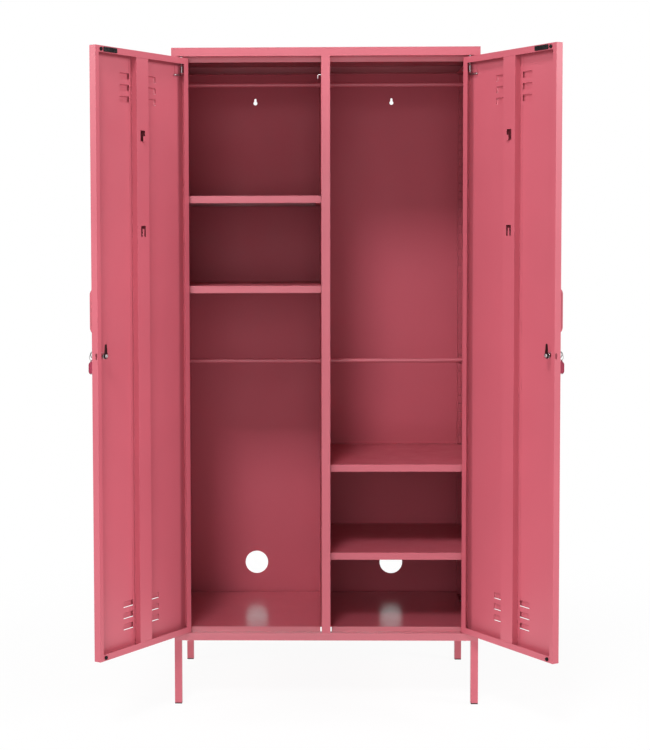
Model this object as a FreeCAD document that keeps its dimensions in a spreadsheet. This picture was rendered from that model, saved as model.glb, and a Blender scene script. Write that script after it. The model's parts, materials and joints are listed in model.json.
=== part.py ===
"""Two-door steel locker cabinet on four legs, standing with both doors open.

Frame: millimetres, +Z up, the front faces -Y, and the origin is on the floor under the middle
of the cabinet's body. The sheet "Sizes" holds the driving dimensions. Each door's pieces are
drawn in that door's own frame, with the hinge pin as its Z axis, and are then placed on the
hinge and turned to the open angle.
"""
import FreeCAD, Part
import os
import re

import Sketcher

Vector = FreeCAD.Vector
Rotation = FreeCAD.Rotation
Placement = FreeCAD.Placement

DIMENSIONS = {
    # body
    "body_width": 850.0,
    "body_depth": 500.0,
    "body_height": 1830.0,
    "leg_height": 180.0,
    "sheet": 0.8,
    "cap_height": 23.5,
    "plinth_height": 20.5,
    "floor_step": 13.0,
    "rebate": 25.0,
    "lip_drop": 14.5,
    "hem": 20.0,
    "side_post": 17.5,
    "post_width": 24.0,
    "post_slit": 4.0,
    "post_hook_z": 1757.0,
    "post_hook_depth": 21.8,
    # legs
    "leg_width": 20.0,
    "leg_wall": 1.5,
    "leg_neck": 17.0,
    "leg_plate": 48.0,
    "plate_thick": 2.0,
    "cap_foot": 6.0,
    "bolt_radius": 2.5,
    "bolt_inset": 36.0,
    # slotted uprights and shelves
    "upright_width": 13.0,
    "upright_depth": 16.0,
    "slot_width": 11.0,
    "slot_tall": 3.6,
    "slot_pitch": 25.0,
    "slot_count": 60.0,
    "slot_start": 271.0,
    "shelf_height": 20.0,
    "shelf_hem": 14.0,
    "shelf_gap": 0.7,
    "clip_width": 9.0,
    "clip_reach": 11.0,
    "clip_thick": 1.0,
    "clip_tall": 20.0,
    "spare_clip_reach": 4.5,
    "upper_spare_slot": 17.0,
    "lower_spare_slot": 8.0,
    "left_upper_shelf": 1424.0,
    "left_lower_shelf": 1173.5,
    "right_upper_shelf": 672.0,
    "right_lower_shelf": 423.0,
    # hanging rails
    "rail_radius": 6.25,
    "rail_wall": 1.0,
    "upper_rail": 1751.0,
    "lower_rail": 948.0,
    "socket_radius": 8.5,
    "socket_length": 11.0,
    "socket_wall": 2.0,
    # holes in the back
    "back_hole_x": 208.0,
    "cable_hole_z": 302.0,
    "cable_hole_radius": 35.0,
    "keyhole_z": 1719.0,
    "keyhole_radius": 6.0,
    "keyslot_width": 6.5,
    "keyslot_rise": 10.75,
    # doors
    "hinge_x": 396.5,
    "axis_depth": 4.5,
    "hinge_edge": 9.5,
    "door_reach": 383.0,
    "door_low": 202.5,
    "door_high": 1801.0,
    "door_thick": 20.0,
    "hinge_hem": 18.5,
    "free_hem": 13.5,
    "end_hem": 17.0,
    "left_open": 123.0,
    "right_open": 121.1,
    # door stiffener and its two hooks
    "stiffener_centre": 190.5,
    "stiffener_width": 50.0,
    "stiffener_foot": 10.0,
    "hook_width": 19.5,
    "hook_tall": 29.0,
    "upper_hook": 1578.0,
    "lower_hook": 1325.0,
    # louvres
    "louvre_centre": 188.0,
    "louvre_length": 154.0,
    "louvre_tall": 17.0,
    "louvre_rise": 4.8,
    "louvre_pitch": 30.3,
    "louvre_margin": 58.5,
    # lock, key and handle
    "lock_reach": 354.0,
    "lock_z": 1001.5,
    "edge_slot_depth": 14.5,
    "barrel_radius": 5.5,
    "sleeve_radius": 8.0,
    "cam_length": 31.0,
    "cam_width": 12.0,
    "cam_depth": 21.4,
    "cam_thick": 2.0,
    "key_thick": 2.0,
    "key_width": 7.0,
    "bow_depth": 22.0,
    "bow_radius": 9.0,
    "ring_radius": 10.0,
    "ring_wire": 0.7,
    "fob_width": 22.0,
    "fob_tall": 38.0,
    "fob_thick": 3.0,
    "handle_centre": 1116.5,
    "handle_tall": 121.0,
    "handle_stand": 24.5,
    "handle_radius": 5.0,
    "handle_bend": 13.0,
    # hinge pins
    "pin_radius": 2.5,
    "pin_play": 0.05,
    "bolt_top": 1816.0,
    "bolt_bottom": 1754.0,
    "tail_length": 31.0,
}

doc = FreeCAD.newDocument("LockerCabinet")
sizes = doc.addObject("Spreadsheet::Sheet", "Sizes")
for row, (alias, value) in enumerate(DIMENSIONS.items(), start=1):
    sizes.set(f"A{row}", alias)
    sizes.set(f"B{row}", str(value))
    sizes.setAlias(f"B{row}", alias)
doc.recompute()

SIDES = {"left": 1, "right": -1}
NODES = []


# ---------------------------------------------------------------- drawing helpers
def bound(expression):
    """Write the sheet's name before every alias in an expression."""
    def qualify(word):
        return f"Sizes.{word.group()}" if word.group() in DIMENSIONS else word.group()
    return re.sub(r"[a-z_]+", qualify, str(expression))


def value_of(expression):
    """The present value of an expression of aliases, for shapes that are made directly."""
    probe = sizes.evalExpression(bound(expression))
    return float(getattr(probe, "Value", probe))


def node(item, name):
    """Declare a finished sub-part: its label is the name of its file."""
    item.Label = name
    NODES.append(item)
    return item


def box(name, x, y, z):
    """A block between pairs of low and high expressions."""
    item = doc.addObject("Part::Box", name)
    for size, letter, (low, high) in zip(("Length", "Width", "Height"), "xyz", (x, y, z)):
        item.setExpression(size, bound(f"({high}) - ({low})"))
        item.setExpression(f"Placement.Base.{letter}", bound(low))
    return item


TURNS = {"x": Rotation(Vector(0, 1, 0), 90), "y": Rotation(Vector(1, 0, 0), -90), "z": Rotation()}


def cylinder(name, letter, radius, low, high, centre):
    """A round bar along one axis; centre gives its place on the other two, in order."""
    item = doc.addObject("Part::Cylinder", name)
    item.Placement = Placement(Vector(), TURNS[letter])
    item.setExpression("Radius", bound(radius))
    item.setExpression("Height", bound(f"({high}) - ({low})"))
    places = dict(zip([other for other in "xyz" if other != letter], centre))
    places[letter] = low
    for other, place in places.items():
        item.setExpression(f"Placement.Base.{other}", bound(place))
    return item


def sphere(name, radius, centre):
    item = doc.addObject("Part::Sphere", name)
    item.setExpression("Radius", bound(radius))
    for letter, place in zip("xyz", centre):
        item.setExpression(f"Placement.Base.{letter}", bound(place))
    return item


def fuse(name, items):
    item = doc.addObject("Part::MultiFuse", name)
    item.Shapes = items
    item.Refine = True
    return item


def cut(name, base, tools):
    item = doc.addObject("Part::Cut", name)
    item.Base = base
    item.Tool = tools[0] if len(tools) == 1 else fuse(f"{name}_tools", tools)
    item.Refine = True
    return item


def common(name, first, second):
    item = doc.addObject("Part::Common", name)
    item.Base = first
    item.Tool = second
    return item


def group(name, items):
    """Identical separate pieces that share one node."""
    item = doc.addObject("Part::Compound", name)
    item.Links = items
    return node(item, name)


def plane_of(body, role):
    return next(part for part in body.Origin.OriginFeatures if part.Role == role)


def outline(body, role, name, loops):
    """A sketch of closed straight-sided loops, each corner held by expressions."""
    sketch = body.newObject("Sketcher::SketchObject", name)
    sketch.AttachmentSupport = [(plane_of(body, role), "")]
    sketch.MapMode = "FlatFace"
    for corners in loops:
        first = sketch.GeometryCount
        spots = [Vector(value_of(x), value_of(y), 0) for x, y in corners]
        for start, end in zip(spots, spots[1:] + spots[:1]):
            sketch.addGeometry(Part.LineSegment(start, end), False)
        for index, (corner, spot) in enumerate(zip(corners, spots)):
            line = first + index
            following = first + (index + 1) % len(corners)
            sketch.addConstraint(Sketcher.Constraint("Coincident", line, 2, following, 1))
            for kind, expression, place in zip(("DistanceX", "DistanceY"), corner, spot):
                held = sketch.addConstraint(Sketcher.Constraint(kind, -1, 1, line, 1, place))
                sketch.setExpression(f"Constraints[{held}]", bound(expression))
    return sketch


def pad(body, sketch, length, name):
    item = body.newObject("PartDesign::Pad", name)
    item.Profile = sketch
    item.setExpression("Length", bound(length))
    return item


def profile_body(name, corners, low, high, inner=()):
    """A folded sheet: one cross-section drawn in plan and run from low to high."""
    body = doc.addObject("PartDesign::Body", f"{name}_body")
    sketch = outline(body, "XY_Plane", f"{name}_section", [corners, *inner])
    pad(body, sketch, f"({high}) - ({low})", f"{name}_run")
    body.setExpression("Placement.Base.z", bound(low))
    return body


def mirrored(corners, side):
    """Corners of a plan outline for the left side (side 1), or mirrored for the right."""
    return [(f"{side} * ({x})", y) for x, y in corners]


def span(side, low, high):
    """A range along X drawn for the left side, mirrored for the right."""
    return (low, high) if side > 0 else (f"-({high})", f"-({low})")


# ---------------------------------------------------------------- places used more than once
FRONT = "-body_depth / 2"
BACK = "body_depth / 2"
WALL = "body_width / 2"
PLINTH_TOP = "leg_height + plinth_height"
FLOOR = "leg_height + plinth_height + floor_step"
CAP_LOW = "body_height - cap_height"
LIP_Y = "-body_depth / 2 + rebate"
HINGE_Y = "-body_depth / 2 + axis_depth"
POST = "post_width / 2"
CORNERS = [(x, y) for x in (-1, 1) for y in (-1, 1)]


def screw_hole(name, letter, low, high, centre, radius="bolt_radius + 0.2"):
    return cylinder(name, letter, radius, low, high, centre)


# ---------------------------------------------------------------- top, plinth and floor
def cap_screws():
    """Screws through the side walls' flanges into the cap and the plinth: X, Y, upward."""
    places = []
    for side in (-1, 1):
        for y in ("-150", "0", "150"):
            places.append((f"{side} * ({WALL} - 9)", y))
    return places


def hinge_hole(name, side, low, high, radius):
    return cylinder(name, "z", radius, low, high, (f"{-side} * hinge_x", HINGE_Y))


def make_top():
    """Cap: a tray hung over the body, with a hem all round and a stop lip behind the doors."""
    shell = box("cap_shell", (f"-{WALL}", WALL), (FRONT, BACK), (CAP_LOW, "body_height"))
    inside = box("cap_inside", (f"-{WALL} + sheet", f"{WALL} - sheet"),
                 (f"{FRONT} + sheet", f"{BACK} - sheet"), (f"{CAP_LOW} + sheet", "body_height - sheet"))
    mouth = box("cap_mouth", (f"-{WALL} + hem", f"{WALL} - hem"),
                (LIP_Y, f"{BACK} - hem"), (f"{CAP_LOW} - 1", f"{CAP_LOW} + 2"))
    lip = box("cap_lip", (f"-{WALL} + side_post", f"{WALL} - side_post"),
              (LIP_Y, f"{LIP_Y} + sheet"), (f"{CAP_LOW} - lip_drop", f"{CAP_LOW} + sheet"))
    post_gap = box("cap_post_gap", (f"-{POST} - 0.4", f"{POST} + 0.4"),
                   (f"{LIP_Y} - 1", f"{LIP_Y} + 3"), (f"{CAP_LOW} - lip_drop - 1", CAP_LOW))
    holes = [hinge_hole(f"cap_hinge_hole_{name}", side, f"{CAP_LOW} - 1", f"{CAP_LOW} + 2",
                        "pin_radius + 1.1") for name, side in SIDES.items()]
    for index, place in enumerate(cap_screws()):
        holes.append(screw_hole(f"cap_screw_hole_{index}", "z", f"{CAP_LOW} - 1",
                                f"{CAP_LOW} + 2", place))
    tray = cut("cap_tray", shell, [inside, mouth])
    node(cut("cap", fuse("cap_folds", [tray, lip]), [post_gap, *holes]), "top_panel")


def make_base():
    """Plinth and floor: a skirt with a rebated top edge, and the floor raised inside it."""
    shell = box("plinth_shell", (f"-{WALL}", WALL), (FRONT, BACK), ("leg_height", PLINTH_TOP))
    inside = box("plinth_inside", (f"-{WALL} + sheet", f"{WALL} - sheet"),
                 (f"{FRONT} + sheet", f"{BACK} - sheet"), ("leg_height + sheet", f"{PLINTH_TOP} - sheet"))
    mouth = box("plinth_mouth", (f"-{WALL} + hem", f"{WALL} - hem"),
                (f"{FRONT} + hem", f"{BACK} - hem"), ("leg_height - 1", "leg_height + 2"))
    tray = cut("plinth_tray", shell, [inside, mouth])
    step = box("floor_step_block", (f"-{WALL} + side_post", f"{WALL} - side_post"),
               (LIP_Y, f"{BACK} - hem"), (f"{PLINTH_TOP} - sheet", FLOOR))
    step_inside = box("floor_underside", (f"-{WALL} + side_post + sheet", f"{WALL} - side_post - sheet"),
                      (f"{LIP_Y} + sheet", f"{BACK} - hem - sheet"),
                      (f"{PLINTH_TOP} - sheet - 1", f"{FLOOR} - sheet"))
    slits = [box(f"floor_slit_{side}", (f"{side} * ({POST} + post_slit / 2) - post_slit / 2",
                                       f"{side} * ({POST} + post_slit / 2) + post_slit / 2"),
                 (f"{LIP_Y} - 2", f"{LIP_Y} + 2"), (f"{PLINTH_TOP} - 2", f"{FLOOR} - sheet"))
             for side in (-1, 1)]
    holes = [hinge_hole(f"plinth_hinge_hole_{name}", side, f"{PLINTH_TOP} - 2", f"{PLINTH_TOP} + 1",
                        "pin_radius") for name, side in SIDES.items()]
    for index, place in enumerate(cap_screws()):
        holes.append(screw_hole(f"plinth_screw_hole_{index}", "z", f"{PLINTH_TOP} - 2",
                                f"{PLINTH_TOP} + 1", place))
    for index, (side_x, side_y) in enumerate(CORNERS):
        x = f"{side_x} * ({WALL} - leg_width / 2)"
        y = f"{side_y} * ({BACK} - leg_width / 2)"
        half = "leg_neck / 2 + 0.3"
        holes.append(box(f"plinth_neck_hole_{index}", (f"{x} - ({half})", f"{x} + ({half})"),
                         (f"{y} - ({half})", f"{y} + ({half})"), ("leg_height - 1", "leg_height + 2")))
        for number, place in enumerate(leg_bolt_places(side_x, side_y)):
            holes.append(screw_hole(f"plinth_bolt_hole_{index}_{number}", "z", "leg_height - 1",
                                    "leg_height + 2", place))
    solid = fuse("floor_folds", [tray, step])
    node(cut("base", solid, [step_inside, *slits, *holes]), "base_pan")


# ---------------------------------------------------------------- side, back and middle walls
def make_side(name, side):
    """Side wall: one sheet folded into a hollow front post and a rear flange."""
    edge = f"-{WALL}"
    corners = [
        (edge, FRONT),
        (f"{edge} + side_post", FRONT),
        (f"{edge} + side_post", LIP_Y),
        (f"{edge} + sheet", LIP_Y),
        (f"{edge} + sheet", f"{BACK} - sheet"),
        (f"{edge} + hem", f"{BACK} - sheet"),
        (f"{edge} + hem", BACK),
        (edge, BACK),
    ]
    hollow = [
        (f"{edge} + sheet", f"{FRONT} + sheet"),
        (f"{edge} + side_post - sheet", f"{FRONT} + sheet"),
        (f"{edge} + side_post - sheet", f"{LIP_Y} - sheet"),
        (f"{edge} + sheet", f"{LIP_Y} - sheet"),
    ]
    wall = profile_body(f"{name}_side", mirrored(corners, side), PLINTH_TOP, CAP_LOW,
                        inner=[mirrored(hollow, side)])
    flange_x = span(side, f"{edge} + sheet / 2", f"{edge} + side_post")
    flange_y = (f"{LIP_Y} + 17", f"{BACK} - 18")
    low = box(f"{name}_low_flange", flange_x, flange_y, (PLINTH_TOP, f"{PLINTH_TOP} + sheet"))
    high = box(f"{name}_high_flange", flange_x, flange_y, (f"{CAP_LOW} - sheet", CAP_LOW))
    holes = []
    for index, (x, y) in enumerate(cap_screws()):
        if index // 3 == (0 if side > 0 else 1):
            holes.append(screw_hole(f"{name}_low_hole_{index}", "z", f"{PLINTH_TOP} - 1",
                                    f"{PLINTH_TOP} + 2", (x, y)))
            holes.append(screw_hole(f"{name}_high_hole_{index}", "z", f"{CAP_LOW} - 2",
                                    f"{CAP_LOW} + 1", (x, y)))
    solid = fuse(f"{name}_side_folds", [wall, low, high])
    node(cut(f"{name}_side", solid, holes), f"{name}_side_panel")


def make_back():
    """Back wall, with two keyholes for wall screws and two round cable holes."""
    sheet = box("back_sheet", (f"-{WALL} + sheet", f"{WALL} - sheet"),
                (f"{BACK} - 2 * sheet", f"{BACK} - sheet"), (PLINTH_TOP, CAP_LOW))
    holes = []
    through = (f"{BACK} - 3", f"{BACK} + 1")
    for side in (-1, 1):
        x = f"{side} * back_hole_x"
        top = "keyhole_z + keyslot_rise"
        holes.append(cylinder(f"cable_hole_{side}", "y", "cable_hole_radius", *through,
                              (x, "cable_hole_z")))
        holes.append(cylinder(f"keyhole_entry_{side}", "y", "keyhole_radius", *through,
                              (x, "keyhole_z")))
        holes.append(cylinder(f"keyhole_top_{side}", "y", "keyslot_width / 2", *through, (x, top)))
        holes.append(box(f"keyhole_slot_{side}", (f"{x} - keyslot_width / 2", f"{x} + keyslot_width / 2"),
                         through, ("keyhole_z", top)))
    node(cut("back", sheet, holes), "back_panel")


def make_centre_post():
    """Channel between the doors, notched at the back edge where the two cams reach in."""
    corners = [
        (f"-{POST}", FRONT),
        (POST, FRONT),
        (POST, LIP_Y),
        (f"{POST} - sheet", LIP_Y),
        (f"{POST} - sheet", f"{FRONT} + sheet"),
        (f"-{POST} + sheet", f"{FRONT} + sheet"),
        (f"-{POST} + sheet", LIP_Y),
        (f"-{POST}", LIP_Y),
    ]
    channel = profile_body("post", corners, PLINTH_TOP, CAP_LOW)
    notch = box("cam_notch", (f"-{POST} - 1", f"{POST} + 1"),
                (f"{FRONT} + cam_depth - 1.4", f"{LIP_Y} + 1"),
                ("lock_z - cam_width / 2 - 2", "lock_z + cam_length + 2"))
    hook_hole = cylinder("post_hook_hole", "x", "1.7", f"-{POST} - 1", f"-{POST} + 2",
                         (f"{FRONT} + post_hook_depth", "post_hook_z"))
    node(cut("post", channel, [notch, hook_hole]), "centre_post")


def make_divider():
    """Hollow partition behind the post, with two columns of shelf slots in each face."""
    body = doc.addObject("PartDesign::Body", "divider_body")
    front = f"{LIP_Y} + 1"
    back = f"{BACK} - hem - 1"
    outer = [(f"-{POST}", front), (POST, front), (POST, back), (f"-{POST}", back)]
    inner = [(f"-{POST} + sheet", f"{front} + sheet"), (f"{POST} - sheet", f"{front} + sheet"),
             (f"{POST} - sheet", f"{back} - sheet"), (f"-{POST} + sheet", f"{back} - sheet")]
    section = outline(body, "XY_Plane", "divider_section", [outer, inner])
    pad(body, section, f"body_height - sheet - ({FLOOR})", "divider_run")
    doc.recompute()
    loops = []
    for middle in (f"{front} + 17", f"{back} - 17"):
        low_y = f"{middle} - slot_width / 2"
        high_y = f"{middle} + slot_width / 2"
        low_z = f"slot_start - ({FLOOR})"
        high_z = f"slot_start + slot_tall - ({FLOOR})"
        loops.append([(low_y, low_z), (high_y, low_z), (high_y, high_z), (low_y, high_z)])
    slots = outline(body, "YZ_Plane", "divider_slots", loops)
    pocket = body.newObject("PartDesign::Pocket", "divider_slot_pair")
    pocket.Profile = slots
    pocket.Type = "ThroughAll"
    pocket.Midplane = True
    doc.recompute()
    pattern = body.newObject("PartDesign::LinearPattern", "divider_slot_rows")
    pattern.Originals = [pocket]
    pattern.Direction = (slots, ["V_Axis"])
    pattern.setExpression("Length", bound("slot_pitch * (slot_count - 1)"))
    pattern.setExpression("Occurrences", bound("slot_count"))
    body.Tip = pattern
    body.setExpression("Placement.Base.z", bound(FLOOR))
    rail_holes = []
    for height in ("upper_rail", "lower_rail"):
        rail_holes.append(cylinder(f"divider_hole_{height}", "x", "1.7", f"-{POST} - 1", f"{POST} + 1",
                                   ("0", height)))
    tails = []
    for side in (-1, 1):
        ends = (f"{POST} - sheet", POST) if side > 0 else (f"-{POST}", f"-{POST} + sheet")
        tails.append(box(f"divider_tail_{side}", ends, (f"{back} - 1", f"{BACK} - 2 * sheet"),
                         (f"{FLOOR} + 1", f"{CAP_LOW} - 1")))
    node(cut("divider", fuse("divider_walls", [body, *tails]), rail_holes), "divider_panel")


# ---------------------------------------------------------------- slotted uprights and shelves
def make_upright(name, side, front):
    """Channel against a side wall; its slotted face looks into the compartment."""
    body = doc.addObject("PartDesign::Body", f"{name}_body")
    low_x, high_x = span(side, "0", "upright_width")
    face = "upright_depth" if front else "0"
    lining = "upright_depth - sheet" if front else "sheet"
    tail = "0" if front else "upright_depth"
    inner_x = ("sheet", "upright_width - sheet")
    corners = [("0", tail), ("0", face), ("upright_width", face), ("upright_width", tail),
               (inner_x[1], tail), (inner_x[1], lining), (inner_x[0], lining), (inner_x[0], tail)]
    section = outline(body, "XY_Plane", f"{name}_section", [mirrored(corners, side)])
    low = f"{FLOOR} + 4"
    high = f"{CAP_LOW} - 6"
    pad(body, section, f"({high}) - ({low})", f"{name}_run")
    doc.recompute()
    middle = f"({low_x} + {high_x}) / 2"
    slot_low = f"slot_start - ({low})"
    slot_high = f"{slot_low} + slot_tall"
    left = f"{middle} - slot_width / 2 + 0.6"
    right = f"{middle} + slot_width / 2 - 0.6"
    loop = [(left, slot_low), (right, slot_low), (right, slot_high), (left, slot_high)]
    slots = outline(body, "XZ_Plane", f"{name}_slot", [loop])
    pocket = body.newObject("PartDesign::Pocket", f"{name}_slot_cut")
    pocket.Profile = slots
    pocket.Type = "ThroughAll"
    pocket.Midplane = True
    doc.recompute()
    pattern = body.newObject("PartDesign::LinearPattern", f"{name}_slot_rows")
    pattern.Originals = [pocket]
    pattern.Direction = (slots, ["V_Axis"])
    pattern.setExpression("Length", bound("slot_pitch * (slot_count - 1)"))
    pattern.setExpression("Occurrences", bound("slot_count"))
    body.Tip = pattern
    body.setExpression("Placement.Base.x", bound(f"{side} * (-{WALL} + sheet)"))
    start = f"{LIP_Y} + 0.4" if front else f"{BACK} - 2 * sheet - upright_depth"
    body.setExpression("Placement.Base.y", bound(start))
    body.setExpression("Placement.Base.z", bound(low))
    return body


UPRIGHT_FRONT_FACE = f"{LIP_Y} + 0.4 + upright_depth"
UPRIGHT_REAR_FACE = f"{BACK} - 2 * sheet - upright_depth"
SHELVES = {"left_upper": 1, "left_lower": 1, "right_upper": -1, "right_lower": -1}


def make_shelf(name, side):
    """Shelf: a shallow inverted tray with hemmed lips, notched round the two wall uprights."""
    height = f"{name}_shelf"
    outer_x = (f"-{WALL} + sheet + shelf_gap", f"-{POST} - shelf_gap")
    outer_y = (f"{LIP_Y} + 3", f"{BACK} - 2 * sheet - 1")
    low = f"{height} - shelf_height"
    shell = box(f"{name}_shell", span(side, *outer_x), outer_y, (low, height))
    inside = box(f"{name}_inside", span(side, f"{outer_x[0]} + sheet", f"{outer_x[1]} - sheet"),
                 (f"{outer_y[0]} + sheet", f"{outer_y[1]} - sheet"), (f"{low} + sheet", f"{height} - sheet"))
    mouth = box(f"{name}_mouth", span(side, f"{outer_x[0]} + shelf_hem", f"{outer_x[1]} - shelf_hem"),
                (f"{outer_y[0]} + shelf_hem", f"{outer_y[1]} - shelf_hem"), (f"{low} - 1", f"{low} + 2"))
    notch_x = span(side, f"{outer_x[0]} - 1", f"-{WALL} + sheet + upright_width + 0.7")
    tall = (f"{low} - 1", f"{height} + 1")
    front_notch = box(f"{name}_front_notch", notch_x, (f"{outer_y[0]} - 1", f"{UPRIGHT_FRONT_FACE} + 1"), tall)
    rear_notch = box(f"{name}_rear_notch", notch_x, (f"{UPRIGHT_REAR_FACE} - 1", f"{outer_y[1]} + 1"), tall)
    shelf = cut(f"{name}_tray", shell, [inside, mouth, front_notch, rear_notch])
    node(shelf, f"{name}_shelf")


def shelf_clips(name, side):
    """Four clips under one shelf: a ledge, a face plate and a tongue through the slot."""
    ledge_top = f"{name}_shelf - shelf_height - 0.3"
    ledge_z = (f"{ledge_top} - clip_thick", ledge_top)
    clips = []
    wall_x = (f"-{WALL} + sheet + 2", f"-{WALL} + sheet + 2 + clip_width")
    tongue_x = (f"-{WALL} + sheet + 3.5", f"-{WALL} + sheet + 0.5 + clip_width")
    slot_z = f"slot_start + slot_pitch * floor(({ledge_top} - slot_start) / slot_pitch)"
    tongue_z = (f"{slot_z} + 0.5", f"{slot_z} + slot_tall - 0.5")
    plate_low = (f"{slot_z} - 1", ledge_top)
    for end, face, way in (("front", UPRIGHT_FRONT_FACE, 1), ("rear", UPRIGHT_REAR_FACE, -1)):
        def reach(start, finish):
            ends = (f"{face} + {way * start}", f"{face} + {way * finish}")
            return ends if way > 0 else ends[::-1]
        pieces = [
            box(f"{name}_{end}_wall_ledge", span(side, *wall_x), reach(0.05, 12), ledge_z),
            box(f"{name}_{end}_wall_plate", span(side, *wall_x), reach(0.05, 1.05), plate_low),
            box(f"{name}_{end}_wall_tongue", span(side, *tongue_x), reach(-2.5, 0.5), tongue_z),
        ]
        clips.append(fuse(f"{name}_{end}_wall_clip", pieces))
    for end, middle in (("front", f"{LIP_Y} + 1 + 17"), ("rear", f"{BACK} - hem - 1 - 17")):
        across = (f"{middle} - clip_width / 2", f"{middle} + clip_width / 2")
        inside = (f"{middle} - clip_width / 2 + 1", f"{middle} + clip_width / 2 - 1")
        pieces = [
            box(f"{name}_{end}_post_ledge", span(side, f"-{POST} - clip_reach", f"-{POST} - 0.05"),
                across, ledge_z),
            box(f"{name}_{end}_post_plate", span(side, f"-{POST} - 0.05 - clip_thick", f"-{POST} - 0.05"),
                across, plate_low),
            box(f"{name}_{end}_post_tongue", span(side, f"-{POST} - 0.5", f"-{POST} + 2.5"),
                inside, tongue_z),
        ]
        clips.append(fuse(f"{name}_{end}_post_clip", pieces))
    return clips


def spare_clips():
    """Two clips left in the divider's left face, with no shelf on them."""
    middle = f"{LIP_Y} + 1 + 17"
    across = (f"{middle} - clip_width / 2", f"{middle} + clip_width / 2")
    inside = (f"{middle} - clip_width / 2 + 1", f"{middle} + clip_width / 2 - 1")
    face = (f"-{POST} - 0.05 - clip_thick", f"-{POST} - 0.05")
    out = (f"-{POST} - spare_clip_reach", f"-{POST} - 0.05")
    clips = []
    for level in ("upper", "lower"):
        slot_z = f"slot_start + slot_pitch * {level}_spare_slot"
        low = f"{slot_z} - 3"
        high = f"{low} + clip_tall"
        pieces = [
            box(f"{level}_spare_plate", face, across, (low, high)),
            box(f"{level}_spare_ledge", out, across, (f"{high} - clip_thick", high)),
            box(f"{level}_spare_foot", out, across, (low, f"{low} + clip_thick")),
            box(f"{level}_spare_tongue", (f"-{POST} - 0.5", f"-{POST} + 2.5"), inside,
                (f"{slot_z} + 0.5", f"{slot_z} + slot_tall - 0.5")),
        ]
        clips.append(fuse(f"{level}_spare_clip", pieces))
    return clips


# ---------------------------------------------------------------- hanging rails
RAILS = [(f"{name}_{level}", side, f"{level}_rail")
         for name, side in SIDES.items() for level in ("upper", "lower")]


def make_rail(name, side, height):
    ends = span(side, f"-{WALL} + sheet + socket_wall + 0.5", f"-{POST} - socket_wall - 0.5")
    bar = cylinder(f"{name}_rail_bar", "x", "rail_radius", *ends, ("0", height))
    bore = cylinder(f"{name}_rail_bore", "x", "rail_radius - rail_wall", f"{ends[0]} - 1",
                    f"{ends[1]} + 1", ("0", height))
    node(cut(f"{name}_rail_tube", bar, [bore]), f"{name}_rail")


def rail_sockets(name, side, height):
    """The two cups that hold one rail, at the side wall and at the divider."""
    cups = []
    wall = f"-{WALL} + sheet"
    post = f"-{POST}"
    for end, near, way in (("wall", wall, 1), ("post", post, -1)):
        def reach(start, finish):
            ends = (f"{near} + ({way} * ({start}))", f"{near} + ({way} * ({finish}))")
            ends = ends if way > 0 else ends[::-1]
            return span(side, *ends)
        cup = cylinder(f"{name}_{end}_cup", "x", "socket_radius", *reach("0", "socket_length"),
                       ("0", height))
        hole = cylinder(f"{name}_{end}_cup_bore", "x", "rail_radius + 0.05",
                        *reach("socket_wall", "socket_length + 1"), ("0", height))
        cups.append(cut(f"{name}_{end}_socket", cup, [hole]))
    return cups


# ---------------------------------------------------------------- legs, bolts and screws
def leg_bolt_places(side_x, side_y):
    inset = "10"
    return [(f"{side_x} * ({WALL} - bolt_inset)", f"{side_y} * ({BACK} - {inset})"),
            (f"{side_x} * ({WALL} - {inset})", f"{side_y} * ({BACK} - bolt_inset)")]


LEGS = {"front_left": (-1, -1), "front_right": (1, -1), "rear_left": (-1, 1), "rear_right": (1, 1)}


def spread(sign, near, far):
    """A range measured inward from an outer face at plus or minus a half size."""
    ends = (f"{sign} * ({near})", f"{sign} * ({far})")
    return ends[::-1] if sign > 0 else ends


def make_leg(name, side_x, side_y):
    """Square tube welded to a top plate that lies on the plinth's hem."""
    def tower(label, inset, width, z):
        return box(f"{name}_{label}", spread(side_x, f"{WALL} - ({inset})", f"{WALL} - ({inset}) - {width}"),
                   spread(side_y, f"{BACK} - ({inset})", f"{BACK} - ({inset}) - {width}"), z)
    tube = tower("tube", "0", "leg_width", ("cap_foot - 3", "leg_height"))
    neck = tower("neck", "(leg_width - leg_neck) / 2", "leg_neck", ("leg_height - 1", "leg_height + sheet + 1"))
    plate = tower("plate", "sheet + 0.3", "leg_plate", ("leg_height + sheet", "leg_height + sheet + plate_thick"))
    bore = tower("bore", "leg_wall", "(leg_width - 2 * leg_wall)", ("0", "leg_height - 10"))
    holes = [screw_hole(f"{name}_bolt_hole_{index}", "z", "leg_height", "leg_height + 4", place)
             for index, place in enumerate(leg_bolt_places(side_x, side_y))]
    solid = fuse(f"{name}_weldment", [tube, neck, plate])
    node(cut(f"{name}_leg_cut", solid, [bore, *holes]), f"{name}_leg")


def foot_cap(name, side_x, side_y):
    """Plastic glide pushed into the end of a leg."""
    def tower(label, inset, width, z):
        return box(f"{name}_{label}", spread(side_x, f"{WALL} - ({inset})", f"{WALL} - ({inset}) - {width}"),
                   spread(side_y, f"{BACK} - ({inset})", f"{BACK} - ({inset}) - {width}"), z)
    sole = tower("sole", "0", "leg_width", ("0", "cap_foot - 3"))
    plug = tower("plug", "leg_wall + 0.05", "(leg_width - 2 * leg_wall - 0.1)", ("1", "cap_foot + 14"))
    return fuse(f"{name}_foot_cap", [sole, plug])


def leg_bolt(name, place):
    """Bolt head under the hem, shank up through hem and plate, nut on top."""
    under = "leg_height"
    over = "leg_height + sheet + plate_thick"
    head = cylinder(f"{name}_head", "z", "bolt_radius * 1.8", f"{under} - 2.2", under, place)
    shank = cylinder(f"{name}_shank", "z", "bolt_radius", f"{under} - 1", f"{over} + 6", place)
    nut = cylinder(f"{name}_nut", "z", "bolt_radius * 1.7", over, f"{over} + 3.5", place)
    return fuse(name, [head, shank, nut])


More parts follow.
